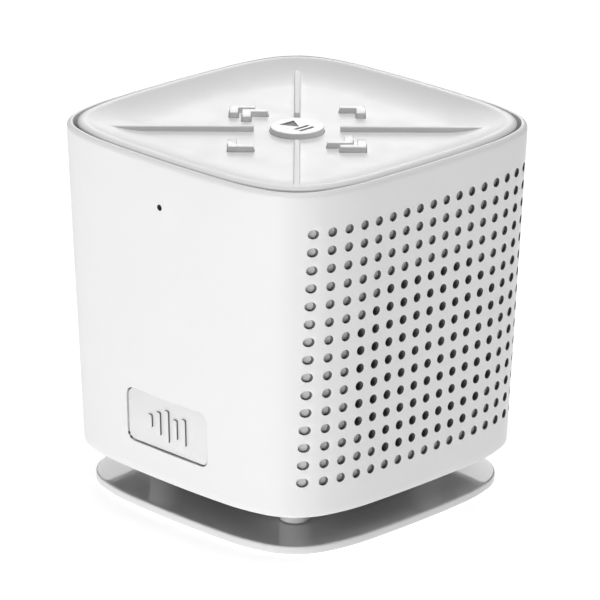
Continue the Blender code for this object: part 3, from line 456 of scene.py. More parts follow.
def swept(profile, steps, ring, angle=math.tau, start=0.0):
    """A profile of (radius, height) points spun about Z. A ring's profile closes on itself."""
    bm = bmesh.new()
    verts = [bm.verts.new((radius, 0, height)) for radius, height in profile]
    pairs = list(zip(verts, verts[1:])) + ([(verts[-1], verts[0])] if ring else [])
    edges = [bm.edges.new(pair) for pair in pairs]
    bmesh.ops.rotate(bm, cent=(0, 0, 0), matrix=Matrix.Rotation(start, 3, "Z"), verts=verts)
    turn = dict(cent=(0, 0, 0), axis=(0, 0, 1), dvec=(0, 0, 0), angle=angle, steps=steps)
    bmesh.ops.spin(bm, geom=verts + edges, use_merge=angle == math.tau, use_duplicate=False, **turn)
    return bm


def lathe(profile, steps=64, ring=False, place=Matrix.Identity(4), bm=None):
    """A fully turned shape, in its place and added to what is there."""
    round_shape = swept(profile, steps, ring)
    bmesh.ops.remove_doubles(round_shape, verts=round_shape.verts, dist=1e-6)
    bmesh.ops.recalc_face_normals(round_shape, faces=round_shape.faces)
    round_shape.transform(place)
    return joined(bm, round_shape)


def turned(name, profile, finish, node, place=Matrix.Identity(4), steps=64, ring=False, body=CASE):
    """A turned piece."""
    return piece(name, lathe(profile, steps, ring, place), finish, node, body)


def rod(radius, low, high):
    """The profile of a plain rod."""
    return [(0, low), (radius, low), (radius, high), (0, high)]


def tube(inner, outer, low, high):
    """The profile of a plain tube or ring."""
    return [(inner, low), (outer, low), (outer, high), (inner, high)]


def softened(points, radius, steps=3):
    """An open profile whose inner corners are replaced by arcs of a radius."""
    soft = [points[0]]
    for before, corner, after in zip(points, points[1:], points[2:]):
        here = Vector(corner)
        back = Vector(before) - here
        on = Vector(after) - here
        reach = min(radius / math.tan(back.angle(on) / 2), 0.45 * back.length, 0.45 * on.length)
        start = here + reach * back.normalized()
        end = here + reach * on.normalized()
        for step in range(steps + 1):
            t = step / steps
            soft.append(tuple((1 - t) ** 2 * start + 2 * t * (1 - t) * here + t * t * end))
    return soft + [points[-1]]


# %% Bevelled boxes
def bevelled(bm, edges, width, segments, clamp=False):
    """Rounds some edges."""
    rounding = dict(affect="EDGES", segments=segments, profile=0.5, material=-1)
    bmesh.ops.bevel(bm, geom=edges, offset=width, clamp_overlap=clamp, **rounding)


def slab(size, centre, bevel=0.0, segments=2, place=Matrix.Identity(4), bm=None, upright=0.0):
    """A box with bevelled edges. upright first rounds its four edges along Z by that much."""
    box = bmesh.new()
    bmesh.ops.create_cube(box, size=1.0)
    bmesh.ops.scale(box, vec=size, verts=box.verts)
    if upright:
        standing = [edge for edge in box.edges if abs(edge.verts[0].co.z - edge.verts[1].co.z) > size[2] / 2]
        bevelled(box, standing, upright, 6)
    if bevel:
        edges = [edge for edge in box.edges if edge.calc_face_angle(0) > math.radians(40)]
        bevelled(box, edges, bevel, segments, True)
    bmesh.ops.translate(box, vec=centre, verts=box.verts)
    box.transform(place)
    return joined(bm, box)


print("helpers ready")

# %% [markdown]
# ## The outline
#
# Seen from above, the case is a square whose faces bow out. Each quarter of its outline is a flat arc along
# the face, a tighter shoulder arc and a corner arc, which meet smoothly because each starts on the heading
# where the last one ended. The faces lean out by under two degrees, so the half width grows with height.

# %% Outline of the case
TOP_HALF = 0.04105
FOOT_HALF = 0.0388
RIM_Z = 0.0830
FOOT_Z = 0.0098
WALL = 0.0022
FACE_TURN = 0.05
SHOULDER_TURN = 0.30
QUARTER = math.pi / 2
DIAGONAL = QUARTER / 2
SHOULDER_RADIUS = 0.0441
CORNER_RADIUS = 0.0143
TAPER = math.atan((TOP_HALF - FOOT_HALF) / (RIM_Z - FOOT_Z))


def half_at(z):
    """Half the width of the case at a height."""
    return FOOT_HALF + (TOP_HALF - FOOT_HALF) * (z - FOOT_Z) / (RIM_Z - FOOT_Z)


def unit(turn):
    """The flat direction of a heading."""
    return Vector((math.cos(turn), math.sin(turn)))


def arcs(half):
    """Centre, radius and last heading of the face, shoulder and corner arcs for a half width."""
    reach = half
    spans = ((SHOULDER_RADIUS, FACE_TURN, SHOULDER_TURN), (CORNER_RADIUS, SHOULDER_TURN, DIAGONAL))
    for radius, start, end in spans:
        reach -= radius * (math.cos(start) - math.cos(end) + math.sin(end) - math.sin(start))
    face_radius = reach / (1 - math.cos(FACE_TURN) + math.sin(FACE_TURN))
    first = Vector((half - face_radius, 0))
    second = first + (face_radius - SHOULDER_RADIUS) * unit(FACE_TURN)
    third = second + (SHOULDER_RADIUS - CORNER_RADIUS) * unit(SHOULDER_TURN)
    bow = (first, face_radius, FACE_TURN)
    return bow, (second, SHOULDER_RADIUS, SHOULDER_TURN), (third, CORNER_RADIUS, DIAGONAL)


def outline_point(heading, half, inset=0.0):
    """The outline's point that faces a heading, set inwards."""
    quarter = round(heading / QUARTER)
    local = heading - quarter * QUARTER
    for centre, radius, last in arcs(half):
        if abs(local) <= last + 1e-9:
            break
    point = centre + (radius - inset) * unit(abs(local))
    point.y = math.copysign(point.y, local)
    point.rotate(Matrix.Rotation(quarter * QUARTER, 2))
    return point


def heading_at(across, half, inset=0.0):
    """The heading of the outline at a distance from a face's centre line, up to the diagonal."""
    for centre, radius, last in arcs(half):
        turn = math.asin(min(1.0, (abs(across) - centre.y) / (radius - inset)))
        if turn <= last:
            break
    return math.copysign(min(turn, DIAGONAL), across)


def even_headings(corner, shoulder, face):
    """Headings over one face from diagonal to diagonal, closer together round the corners."""
    stops = [SHOULDER_TURN + (DIAGONAL - SHOULDER_TURN) * i / corner for i in range(corner, 0, -1)]
    stops += [FACE_TURN + (SHOULDER_TURN - FACE_TURN) * i / shoulder for i in range(shoulder, 0, -1)]
    middle = [-FACE_TURN + 2 * FACE_TURN * i / face for i in range(face)]
    return [-stop for stop in stops] + middle + list(reversed(stops))[:-1]


print("half width", half_at(FOOT_Z), "to", half_at(RIM_Z))

# %% [markdown]
# ## The case
#
# The grille is a square grid of holes over both sides, 17 columns by 15 rows. Holes cut by Boolean from a
# curved skin leave long thin faces and bad shading, so the skin is laid out for the holes instead. Each
# grid cell is five quads by five, and the twelve points round its middle nine quads are moved onto a circle.
# The nine quads are then pushed in, first to make a small chamfer and then to make the hole. The field in
# front of the driver goes right through, and the holes round it are blind.

# %% Stations of the case
PITCH = 0.004
COLUMNS = 17
ROWS = 15
STEPS = 5
GRID_LOW = 0.016
SIDE_STATIONS = COLUMNS * STEPS
END_HEADINGS = even_headings(6, 4, 12)
HALF_TURN_STATIONS = SIDE_STATIONS + len(END_HEADINGS)
EVEN_REACH = 0.030
STRAIGHT_REACH = 0.022


def side_across(station, half):
    """How far a side station is from the side's centre line. The last cell stretches to the diagonal."""
    across = (station / STEPS - COLUMNS / 2) * PITCH
    edge = outline_point(DIAGONAL, half).y
    spare = abs(across) - EVEN_REACH
    if spare <= 0:
        return across
    return math.copysign(EVEN_REACH + (edge - EVEN_REACH) * spare / PITCH, across)


def side_point(across, z, inset):
    """A point of the right side's skin at a distance from its centre line."""
    half = half_at(z)
    point = outline_point(heading_at(across, half, inset), half, inset)
    return Vector((point.x, across, z))


def case_point(station, z, inset, inner=False):
    """The place of a station at a height, on the skin or set in from it."""
    half = half_at(z)
    turn, local = divmod(station, HALF_TURN_STATIONS)
    if local < SIDE_STATIONS:
        across = side_across(local, half)
        flat = outline_point(heading_at(across, half), half, inset)
        point = Vector((*flat, z))
        if inner:
            edge = outline_point(DIAGONAL, half).y
            share = max(0.0, (abs(across) - STRAIGHT_REACH) / (edge - STRAIGHT_REACH))
            point = side_point(across + (flat.y - across) * min(1.0, share), z, inset)
    else:
        flat = outline_point(QUARTER + END_HEADINGS[local - SIDE_STATIONS], half, inset)
        point = Vector((*flat, z))
    point.rotate(Matrix.Rotation(turn * math.pi, 3, "Z"))
    return point


# %% Levels of the case
def quarter_round(radius, low, steps, up):
    """(z, inset) points of a quarter round at the foot, or at the rim when up is set."""
    turns = [QUARTER * step / steps for step in range(steps + 1)]
    rises = [math.sin(turn) if up else 1 - math.sin(turn) for turn in turns]
    return [(low + radius * rise, radius * (1 - math.cos(turn))) for rise, turn in zip(rises, turns)]


FOOT_ROUND = 0.0006
RIM_ROUND = 0.0011
RIM_LAND = 0.0014
LEDGE_Z = RIM_Z - 0.0033
LEDGE_INSET = RIM_LAND + 0.0018
GRID_LEVELS = [GRID_LOW + PITCH / STEPS * i for i in range(ROWS * STEPS + 1)]
foot = list(reversed(quarter_round(FOOT_ROUND, FOOT_Z, 3, False)))
rim = quarter_round(RIM_ROUND, RIM_Z - RIM_ROUND, 6, True)
outer = foot + [(0.012, 0), (0.014, 0)]
FIRST_GRID_LEVEL = len(outer)
outer += [(z, 0) for z in GRID_LEVELS] + [(0.078, 0), (0.080, 0), (0.081, 0)] + rim
ledge = [(RIM_Z - 0.00004, RIM_LAND - 0.00005), (RIM_Z - 0.00015, RIM_LAND), (LEDGE_Z, RIM_LAND)]
ledge += [(LEDGE_Z, LEDGE_INSET), (LEDGE_Z - 0.0015, LEDGE_INSET), (LEDGE_Z - 0.0025, WALL)]
FIRST_INNER_LEVEL = len(outer) + len(ledge)
inner = [(z, WALL) for z in reversed(GRID_LEVELS)] + [(FOOT_Z + 0.0001, WALL), (FOOT_Z, WALL - 0.0001)]
CASE_LEVELS = outer + ledge + inner
print("case:", 2 * HALF_TURN_STATIONS, "stations by", len(CASE_LEVELS), "levels")

# %% [markdown]
# The shell starts as one circle of edges, which is extruded level by level. Two integer layers on the
# vertices remember the station and the level, and they survive every extrusion, so each vertex can be
# sent to its place afterwards. The last loop is bridged to the first to close the wall. The panel and the
# foot plate are made the same way later, with a flat cap at each end instead.


# %% Extrude the shell
def only(kind, items):
    """The vertices, edges or faces among an operator's results."""
    return [item for item in items if isinstance(item, kind)]


def extruded(levels, stations, place, capped=True):
    """A circle of edges extruded from level to level, capped at its ends or bridged back to its start."""
    bm = bmesh.new()
    bmesh.ops.create_circle(bm, cap_ends=capped, radius=0.04, segments=stations)
    bm.verts.ensure_lookup_table()
    station_of = bm.verts.layers.int.new("station")
    level_of = bm.verts.layers.int.new("level")
    for index, vert in enumerate(bm.verts):
        vert[station_of] = index
    first = edges = list(bm.edges)
    fresh = list(bm.verts)
    for level in range(levels):
        if level:
            made = bmesh.ops.extrude_edge_only(bm, edges=edges)["geom"]
            fresh = only(bmesh.types.BMVert, made)
            known = set(fresh)
            edges = [edge for edge in only(bmesh.types.BMEdge, made) if known.issuperset(edge.verts)]
        for vert in fresh:
            vert[level_of] = level
            vert.co = place(vert[station_of], level)
    if capped:
        bmesh.ops.edgeloop_fill(bm, edges=edges)
        bmesh.ops.recalc_face_normals(bm, faces=bm.faces)
    else:
        bmesh.ops.bridge_loops(bm, edges=first + edges)
    return bm


def case_place(station, level):
    """The place of one vertex of the case."""
    z, inset = CASE_LEVELS[level]
    return case_point(station, z, inset, inner=level >= FIRST_INNER_LEVEL)


case = extruded(len(CASE_LEVELS), 2 * HALF_TURN_STATIONS, case_place, capped=False)
station_layer = case.verts.layers.int["station"]
level_layer = case.verts.layers.int["level"]
print("shell:", len(case.faces), "faces")

# %% [markdown]
# Now the holes. A vertex belongs to a hole when it is one of the four by four in the middle of its cell.
# `hole_role` finds its cell and how far round the circle it lies. The outer skin gets the chamfer and the
# hole, the inner skin gets the matching ring where the hole is open, and the two are merged.

# %% Which vertices belong to a hole
OPEN_CENTRE_Z = 0.040
OPEN_REACH = 0.021
OPEN_CORNER = 0.031
HUB_SHARE = 0.45


def hole_role(vert):
    """(side turn, centre across, centre z, angle, share of the radius) of a vertex in a hole, or None."""
    turn, local = divmod(vert[station_layer], HALF_TURN_STATIONS)
    level = vert[level_layer]
    row_step = level - FIRST_GRID_LEVEL
    if level >= FIRST_INNER_LEVEL:
        row_step = len(GRID_LEVELS) - 1 - (level - FIRST_INNER_LEVEL)
    if not (0 <= row_step < ROWS * STEPS and local < SIDE_STATIONS):
        return None
    column, along = divmod(local, STEPS)
    row, up = divmod(row_step, STEPS)
    if along == 0 or up == 0:
        return None
    across = (column - COLUMNS // 2) * PITCH
    z = GRID_LOW + (row + 0.5) * PITCH
    angle = math.atan2(up - STEPS / 2, along - STEPS / 2)
    edge = along in (1, STEPS - 1) or up in (1, STEPS - 1)
    if edge:
        angle = math.radians(15 + 30 * math.floor(math.degrees(angle) % 360 / 30))
    return turn, across, z, angle, 1.0 if edge else HUB_SHARE


def is_open(role):
    """True for a hole in the eight-sided field in front of the driver."""
    across, up = abs(role[1]), abs(role[2] - OPEN_CENTRE_Z)
    return max(across, up) < OPEN_REACH and across + up < OPEN_CORNER


def hole_faces(bm, inner_skin):
    """The nine faces in the middle of each cell, on the outer or the inner skin."""
    found = []
    for face in bm.faces:
        roles = [hole_role(vert) for vert in face.verts]
        if None in roles or len({role[:3] for role in roles}) > 1:
            continue
        if (face.verts[0][level_layer] >= FIRST_INNER_LEVEL) == inner_skin:
            found.append(face)
    return found


def starts_open(face):
    """True when a face lies in an open hole."""
    return is_open(hole_role(face.verts[0]))


# %% Shape and push in the holes
HOLE_RADIUS = 0.00105
CHAMFER = 0.00006
BLIND_DEPTH = 0.00085
DEEP_SHADE_DEPTH = 0.0004


def verts_of(faces):
    """The vertices of some faces, each once."""
    return list({vert for face in faces for vert in face.verts})


def ring_up(verts, radius, depth, inset=0.0):
    """Sends vertices to their hole's circle, straight in from the skin by a depth."""
    for vert in verts:
        turn, across, z, angle, share = hole_role(vert)
        across += radius * share * math.cos(angle)
        z += radius * share * math.sin(angle)
        vert.co = side_point(across, z, inset)
        vert.co.x -= depth
        vert.co.rotate(Matrix.Rotation(turn * math.pi, 3, "Z"))


def sink(faces, depth):
    """The faces pushed straight in to a depth below the skin, with a wall round each hole."""
    made = bmesh.ops.extrude_face_region(case, geom=faces)["geom"]
    bmesh.ops.delete(case, geom=faces, context="FACES")
    pushed = only(bmesh.types.BMFace, made)
    ring_up(verts_of(pushed), HOLE_RADIUS, depth)
    return pushed


def paint_walls(faces, index):
    """The walls round some faces, given a material."""
    inside = set(faces)
    for edge in [edge for face in faces for edge in face.edges]:
        for other in edge.link_faces:
            if other not in inside:
                other.material_index = index


outer_faces = hole_faces(case, False)
inner_faces = [face for face in hole_faces(case, True) if starts_open(face)]
ring_up(verts_of(outer_faces), HOLE_RADIUS + CHAMFER, 0)
ring_up(verts_of(inner_faces), HOLE_RADIUS, 0, WALL)
sunk = sink(outer_faces, CHAMFER)
through = [face for face in sunk if starts_open(face)]
blind = sink([face for face in sunk if not starts_open(face)], BLIND_DEPTH)
# Painted shade: the blind holes' walls get the dark tone and their floors the grey tone.
paint_walls(blind, 1)
for face in blind:
    face.material_index = 2
print("open holes:", len(through) // 9, "all holes:", len(sunk) // 9)

# %% [markdown]
# An open hole is pushed in twice: its wall near the skin gets the dark painted shade of the holes, and the
# wall behind it a second painted shade for the deep shade inside the wall. Its last ring is merged with the
# ring of the inner skin.

# %% Join the open holes to the inner skin
# Painted shade: the open holes' walls near the skin get the dark tone, and the walls behind them the deep
# tone.
through = sink(through, DEEP_SHADE_DEPTH)
paint_walls(through, 1)
through = sink(through, 2 * DEEP_SHADE_DEPTH)
loose_ends = verts_of(through)
ring_up(loose_ends, HOLE_RADIUS, 0, WALL)
paint_walls(through, 3)
inner_ends = verts_of(inner_faces)
bmesh.ops.delete(case, geom=through + inner_faces, context="FACES")
ends = [vert for vert in loose_ends + inner_ends if vert.is_valid]
bmesh.ops.remove_doubles(case, verts=ends, dist=1e-6)
bmesh.ops.recalc_face_normals(case, faces=case.faces)
print("open edges:", sum(1 for edge in case.edges if not edge.is_manifold))
case_shell = piece("case_shell", case, SATIN_WHITE, "housing")
# Slots 1 to 3 hold painted shade: the dark wall tone, the grey floor tone and the deep wall tone.
for finish in (DARK_PAINTED_SHADE, HOLE_FLOOR_PAINTED_SHADE, DEEP_HOLE_PAINTED_SHADE):
    case_shell.data.materials.append(finish)

# %% [markdown]
# ## Openings in the front and the rear
#
# The front has a pocket for the name plate and the microphone's hole. The rear has the openings for the
# sockets, the switch and the light pipe. Here Booleans are the right tool, because the openings are few,
# differ in shape and sit on nearly flat walls. All the cutters are joined into one mesh first, since they
# don't touch, so the case is only cut once.

# %% Places on the front and the rear
GAP = 0.0003
SOFT_EDGE = 0.0002
FINE_EDGE = 0.0001
PORT_Z = 0.0200
PORT_Y = half_at(PORT_Z)
BADGE_Z = 0.0230
BADGE_SIZE = (0.0118, 0.0244, 0.0005)
BADGE_CORNER = 0.0018
MIC_Z = 0.0729
MIC_RADIUS = 0.0007
USB_X = 0.0040
USB_SIZE = (0.0076, 0.0027)
AUX_X = 0.0140
AUX_RADIUS = 0.0026
LIGHT_X = -0.0045
LIGHT_RADIUS = 0.0009
SWITCH_X = -0.0140
SWITCH_TRAVEL = 0.0020


def wall_place(heading, z, depth):
    """The frame on a face's centre line whose +Z looks out square to the leaning wall."""
    out = Matrix.Rotation(heading, 4, "Z") @ Matrix.Rotation(QUARTER + TAPER, 4, "Y")
    spot = Matrix.Rotation(heading, 3, "Z") @ Vector((half_at(z) - depth, 0, z))
    return Matrix.Translation(spot) @ out


def through_y(x, z, low):
    """A frame whose +Z runs along +Y, from a depth, for things that pass through the rear or front wall."""
    return Matrix.Translation((x, low, z)) @ Matrix.Rotation(-QUARTER, 4, "X")


print("rear openings at", PORT_Z, "above the ground, rear wall at", round(PORT_Y, 5))

# %% Cut the front and the rear
CUT = 0.004
BADGE_PLACE = wall_place(-QUARTER, BADGE_Z, BADGE_SIZE[2])
pocket_depth = BADGE_SIZE[2] + GAP
pocket = (BADGE_SIZE[0] + 2 * GAP, BADGE_SIZE[1] + 2 * GAP, pocket_depth + WALL)
lift = (0, 0, pocket[2] / 2 - pocket_depth)
cutters = slab(pocket, lift, place=BADGE_PLACE, upright=BADGE_CORNER + GAP)
cutters = lathe(rod(MIC_RADIUS, -CUT, CUT), 24, False, through_y(0, MIC_Z, -half_at(MIC_Z)), cutters)
for x, radius in ((AUX_X, AUX_RADIUS), (LIGHT_X, LIGHT_RADIUS)):
    cutters = lathe(rod(radius + GAP, -CUT, CUT), 40, False, through_y(x, PORT_Z, PORT_Y), cutters)
for x, (wide, high), corner in ((USB_X, USB_SIZE, 0.0010), (SWITCH_X, (0.0042, 0.0018), 0.0004)):
    mouth = (wide + 2 * GAP, high + 2 * GAP, 2 * CUT)
    cutters = slab(mouth, (0, 0, 0), place=through_y(x, PORT_Z, PORT_Y), bm=cutters, upright=corner)
carve(case_shell, cutters)


def in_mic_hole(face):
    """True for the wall of the microphone's hole."""
    across = face.center - Vector((0, 0, MIC_Z))
    return across.y < 0 and math.hypot(across.x, across.z) < MIC_RADIUS and abs(face.normal.y) < 0.3


def in_pocket_wall(face):
    """True for the wall round the name plate's pocket."""
    spot = BADGE_PLACE.inverted() @ face.center
    close = abs(spot.x) < pocket[0] / 2 + 0.0001 and abs(spot.y) < pocket[1] / 2 + 0.0001
    return close and -0.0009 < spot.z < -0.00025


# Painted shade: the microphone hole's wall and the pocket's wall get the dark tone.
give_faces(case_shell, DARK_PAINTED_SHADE, lambda face: in_mic_hole(face) or in_pocket_wall(face))

# %% [markdown]
# ## The dished panel
#
# The panel is one moulding: a flat floor, a slope that steepens outwards, a rolled lip and a skirt that
# stands on the ledge of the case. It is extruded ring by ring like the case. Only the ribs are joined on
# afterwards, because they are straight walls with a level top that the rising dish swallows at their ends.

# %% Panel rings
SEAM_HALF = TOP_HALF - RIM_LAND - GAP
CREST_Z = 0.0835
FLOOR_Z = 0.0807
UNDER_Z = 0.0785
LIP_WIDTH = 0.0019
LIP_DROP = CREST_Z - RIM_Z + GAP
FLAT_SHARE = 0.68
DISH_POWER = 1.7
SLOPE_STEPS = 20
LIP_STEPS = 8
SKIRT = 0.0021
PANEL_HEADINGS = [QUARTER * i + turn for i in range(4) for turn in even_headings(10, 4, 10)]
lip_turns = [QUARTER * step / LIP_STEPS for step in range(1, LIP_STEPS + 1)]
PANEL_EDGE = [(CREST_Z - LIP_DROP * (1 - math.cos(t)), LIP_WIDTH * (1 - math.sin(t))) for t in lip_turns]
PANEL_EDGE += [(LEDGE_Z + GAP, 0), (LEDGE_Z + GAP, SKIRT), (UNDER_Z, SKIRT)]


def panel_place(station, level):
    """The place of one vertex of the panel."""
    heading = PANEL_HEADINGS[station]
    if level > SLOPE_STEPS:
        z, inset = PANEL_EDGE[level - SLOPE_STEPS - 1]
        return Vector((*outline_point(heading, SEAM_HALF, inset), z))
    share = level / SLOPE_STEPS
    start = outline_point(heading, SEAM_HALF) * FLAT_SHARE
    point = start.lerp(outline_point(heading, SEAM_HALF, LIP_WIDTH), share)
    return Vector((*point, FLOOR_Z + (CREST_Z - FLOOR_Z) * share**DISH_POWER))


dish = extruded(SLOPE_STEPS + 1 + len(PANEL_EDGE), len(PANEL_HEADINGS), panel_place)
panel = piece("key_panel", dish, PANEL_WHITE, "top_panel")
# Painted shade: the panel's upright faces in the seam, between the ledge and the rim, get a grey tone for the
# shade in the gap.
give_faces(panel, SEAM_PAINTED_SHADE, lambda face: abs(face.normal.z) < 0.1 and LEDGE_Z < face.center.z < RIM_Z)

# %% [markdown]
# Each rib is a bevelled bar. The stakes under the panel hold the key board. They are turned shapes, so a
# short profile is spun for each of the four corners.

# %% Ribs and stakes
KEY_Z = 0.0819
RIB = (0.0327, 0.0013, 0.0030)
RIB_MIDDLE = 0.02565
BOARD_TOP = 0.0733
BOARD_THICK = 0.0012
STAKE_PLACE = 0.0215
CORNERS = [(x, y) for x in (-1, 1) for y in (-1, 1)]


def at_corners(profile, reach, steps, bm=None):
    """A turned shape at the four corners of a square, as one bmesh."""
    for x, y in CORNERS:
        bm = lathe(profile, steps, False, Matrix.Translation((x * reach, y * reach, 0)), bm)
    return bm


ribs = None
for turn in range(4):
    spin = Matrix.Rotation(QUARTER * (turn + 0.5), 4, "Z")
    ribs = slab(RIB, (RIB_MIDDLE, 0, KEY_Z - RIB[2] / 2), 0.0003, 3, spin, ribs)
carve(panel, ribs, "UNION")
stake_low = BOARD_TOP - BOARD_THICK - 0.0008
stake = [(0, UNDER_Z + GAP), (0.0024, UNDER_Z + GAP), (0.0024, BOARD_TOP + GAP)]
stake += [(0.0010, BOARD_TOP + GAP), (0.0010, stake_low), (0, stake_low)]
carve(panel, at_corners(stake, STAKE_PLACE, 24), "UNION")

# %% [markdown]
# ## The keys
#
# Four chevron keys point away from the round play key: single ones for volume, double ones for the
# previous and the next track. Each is an L-shaped prism on a flange that stops it from coming out. The
# openings are the same L with a small gap to spare all round, so one function draws both.

# %% Chevron shapes
CHEVRON_APEX = 0.01475
CHEVRON_ARM = 0.0056
CHEVRON_WIDTH = 0.0019
CHEVRON_STEP = 0.0028
KEY_GAP = 0.00015
FLANGE_MARGIN = 0.001
FLANGE_TOP = UNDER_Z - GAP
FLANGE_Z = FLANGE_TOP - 0.0015
STUB_Z = FLANGE_Z - 0.0011
STUB_RADIUS = 0.0016
KEY_PLACES = {
    "volume_up_key": (QUARTER, 1),
    "volume_down_key": (-QUARTER, 1),
    "next_key": (0, 2),
    "previous_key": (math.pi, 2),
}


def chevron(apex, spare=0.0):
    """The six corners of an L whose own corner points along the diagonal."""
    far = apex + spare
    inside = apex - CHEVRON_WIDTH - spare
    end = apex - CHEVRON_ARM - spare
    return [(far, far), (end, far), (end, inside), (inside, inside), (inside, end), (far, end)]


def prism(points, low, high, turn=0.0, bevel=0.0, bm=None):
    """A flat shape raised from one height to another, its upper edges softened, then turned about Z."""
    made = bmesh.new()
    face = made.faces.new([made.verts.new((x, y, low)) for x, y in points])
    raised = only(bmesh.types.BMVert, bmesh.ops.extrude_face_region(made, geom=[face])["geom"])
    bmesh.ops.translate(made, vec=(0, 0, high - low), verts=raised)
    bmesh.ops.recalc_face_normals(made, faces=made.faces)
    if bevel:
        known = set(raised)
        bevelled(made, [edge for edge in made.edges if known.intersection(edge.verts)], bevel, 3)
    made.transform(Matrix.Rotation(turn, 4, "Z"))
    return joined(bm, made)


# %% Key openings
BUTTON_RADIUS = 0.00585
BUTTON_Z = 0.0819
carve(panel, lathe(rod(BUTTON_RADIUS + KEY_GAP, UNDER_Z - GAP, BUTTON_Z + GAP), 72))
for i in range(2):
    openings = None
    for heading, count in KEY_PLACES.values():
        if i < count:
            shape = chevron(CHEVRON_APEX - i * CHEVRON_STEP, KEY_GAP)
            openings = prism(shape, UNDER_Z - GAP, KEY_Z + GAP, heading - DIAGONAL, bm=openings)
    carve(panel, openings)

# %% Chevron keys
base = (FLANGE_TOP + FLANGE_Z) / 2
high = CHEVRON_APEX + FLANGE_MARGIN
for node, (heading, count) in KEY_PLACES.items():
    turn = heading - DIAGONAL
    spin = Matrix.Rotation(turn, 4, "Z")
    low = CHEVRON_APEX - (count - 1) * CHEVRON_STEP - CHEVRON_ARM - FLANGE_MARGIN
    middle = (high + low) / 2
    flange = (high - low, high - low, FLANGE_TOP - FLANGE_Z)
    flange = slab(flange, (middle, middle, base), SOFT_EDGE, 2, spin, upright=0.001)
    key = piece(node.replace("_key", "_chevron"), flange, KEY_WHITE, node, node)
    for i in range(count):
        arms = prism(chevron(CHEVRON_APEX - i * CHEVRON_STEP), base, KEY_Z, turn, 0.00014)
        carve(key, arms, "UNION")
    place = spin @ Matrix.Translation((middle, middle, 0))
    carve(key, lathe(softened(rod(STUB_RADIUS, base, STUB_Z), SOFT_EDGE, 4), 32, False, place), "UNION")

# %% [markdown]
# The play key is turned, with a soft edge and a top that is a few hundredths of a millimetre hollow. Its
# sign, a triangle and two bars, is sunk a quarter of a millimetre and printed grey on its floor. The faces
# on that floor are found by height after the cut and given the second finish.

# %% Play key
SIGN_DEPTH = 0.00025
wide = BUTTON_RADIUS + FLANGE_MARGIN
cap = [(0, BUTTON_Z - 0.00006), (0.6 * BUTTON_RADIUS, BUTTON_Z - 0.00003), (BUTTON_RADIUS - 0.0004, BUTTON_Z)]
cap += [(BUTTON_RADIUS, BUTTON_Z), (BUTTON_RADIUS, FLANGE_TOP), (wide, FLANGE_TOP), (wide, FLANGE_Z)]
cap += [(STUB_RADIUS, FLANGE_Z), (STUB_RADIUS, STUB_Z), (0, STUB_Z)]
cap = softened(cap, SOFT_EDGE)
play_button = turned("play_button", cap, KEY_WHITE, "play_key", steps=96, body="play_key")
sign_low, sign_high = BUTTON_Z - SIGN_DEPTH, BUTTON_Z + GAP
sign = prism([(-0.0033, -0.0022), (0.0006, 0), (-0.0033, 0.0022)], sign_low, sign_high)
for x in (0.0014, 0.0029):
    sign = slab((0.0008, 0.0042, sign_high - sign_low), (x, 0, (sign_low + sign_high) / 2), bm=sign)
carve(play_button, sign)
give_faces(play_button, PRINT_GREY, lambda face: abs(face.center.z - sign_low) < 1e-5 and face.normal.z > 0.9)

# %% [markdown]
# ## Name plate
#
# The plate in the front carries no name here, only five raised bars like a sound level. It is a thin slab
# with rounded corners and a soft edge, and the bars are joined on as half-sunk slabs whose sides get dark
# painted shade.

# %% Name plate
BAR_HEIGHTS = (0.0030, 0.0054, 0.0074, 0.0046, 0.0062)
BAR_PITCH = 0.0026
BAR_WIDTH = 0.0013
BAR_RISE = 0.00045
BAR_CORNER = 0.0004
badge = slab(BADGE_SIZE, (0, 0, -BADGE_SIZE[2] / 2), FINE_EDGE, 2, BADGE_PLACE, upright=BADGE_CORNER)
badge = piece("level_plate", badge, BADGE_WHITE, "name_plate")
bars = None
for i, height in enumerate(BAR_HEIGHTS):
    size, spot = (height, BAR_WIDTH, 2 * BAR_RISE), (0, BAR_PITCH * (i - 2), 0)
    bars = slab(size, spot, FINE_EDGE, 2, BADGE_PLACE, bars, BAR_CORNER)
carve(badge, bars, "UNION")
outward = BADGE_PLACE.to_3x3() @ Vector((0, 0, 1))


def is_bar_side(face):
    """True for the upright faces of the bars."""
    rise = (face.center - BADGE_PLACE.translation).dot(outward)
    return rise > 0.00002 and face.normal.dot(outward) < 0.5


# Painted shade: the bars' upright sides get the dark tone.
give_faces(badge, DARK_PAINTED_SHADE, is_bar_side)

# %% [markdown]
# ## Foot plate, posts and pads
#
# The plate under the speaker has the same outline as the case, a little smaller, with a full soft edge.
# From below it has a shallow seat for each rubber pad and a countersunk hole for each post's screw.

# %% Foot plate
PLATE_HALF = 0.0370
PLATE_Z = 0.0004
PLATE_TOP = 0.0023
PLATE_ROUND = 0.0004
PLATE_BORDER = 0.0012
POST_PLACE = 0.0204
POST_BORE = 0.0014
SCREW_HEAD = 0.0025
PAD_RADIUS = 0.0045
PAD_SEAT = PLATE_Z + 0.0007
PLATE_EDGE = quarter_round(PLATE_ROUND, PLATE_Z, 5, False)[::-1]
PLATE_EDGE += quarter_round(PLATE_ROUND, PLATE_TOP - PLATE_ROUND, 5, True) + [(PLATE_TOP, PLATE_BORDER)]


def outlined(levels, half_of):
    """A flat solid with the case's outline, extruded through (z, inset) levels."""

    def place(station, level):
        z, inset = levels[level]
        return Vector((*outline_point(PANEL_HEADINGS[station], half_of(z), inset), z))

    return extruded(len(levels), len(PANEL_HEADINGS), place)


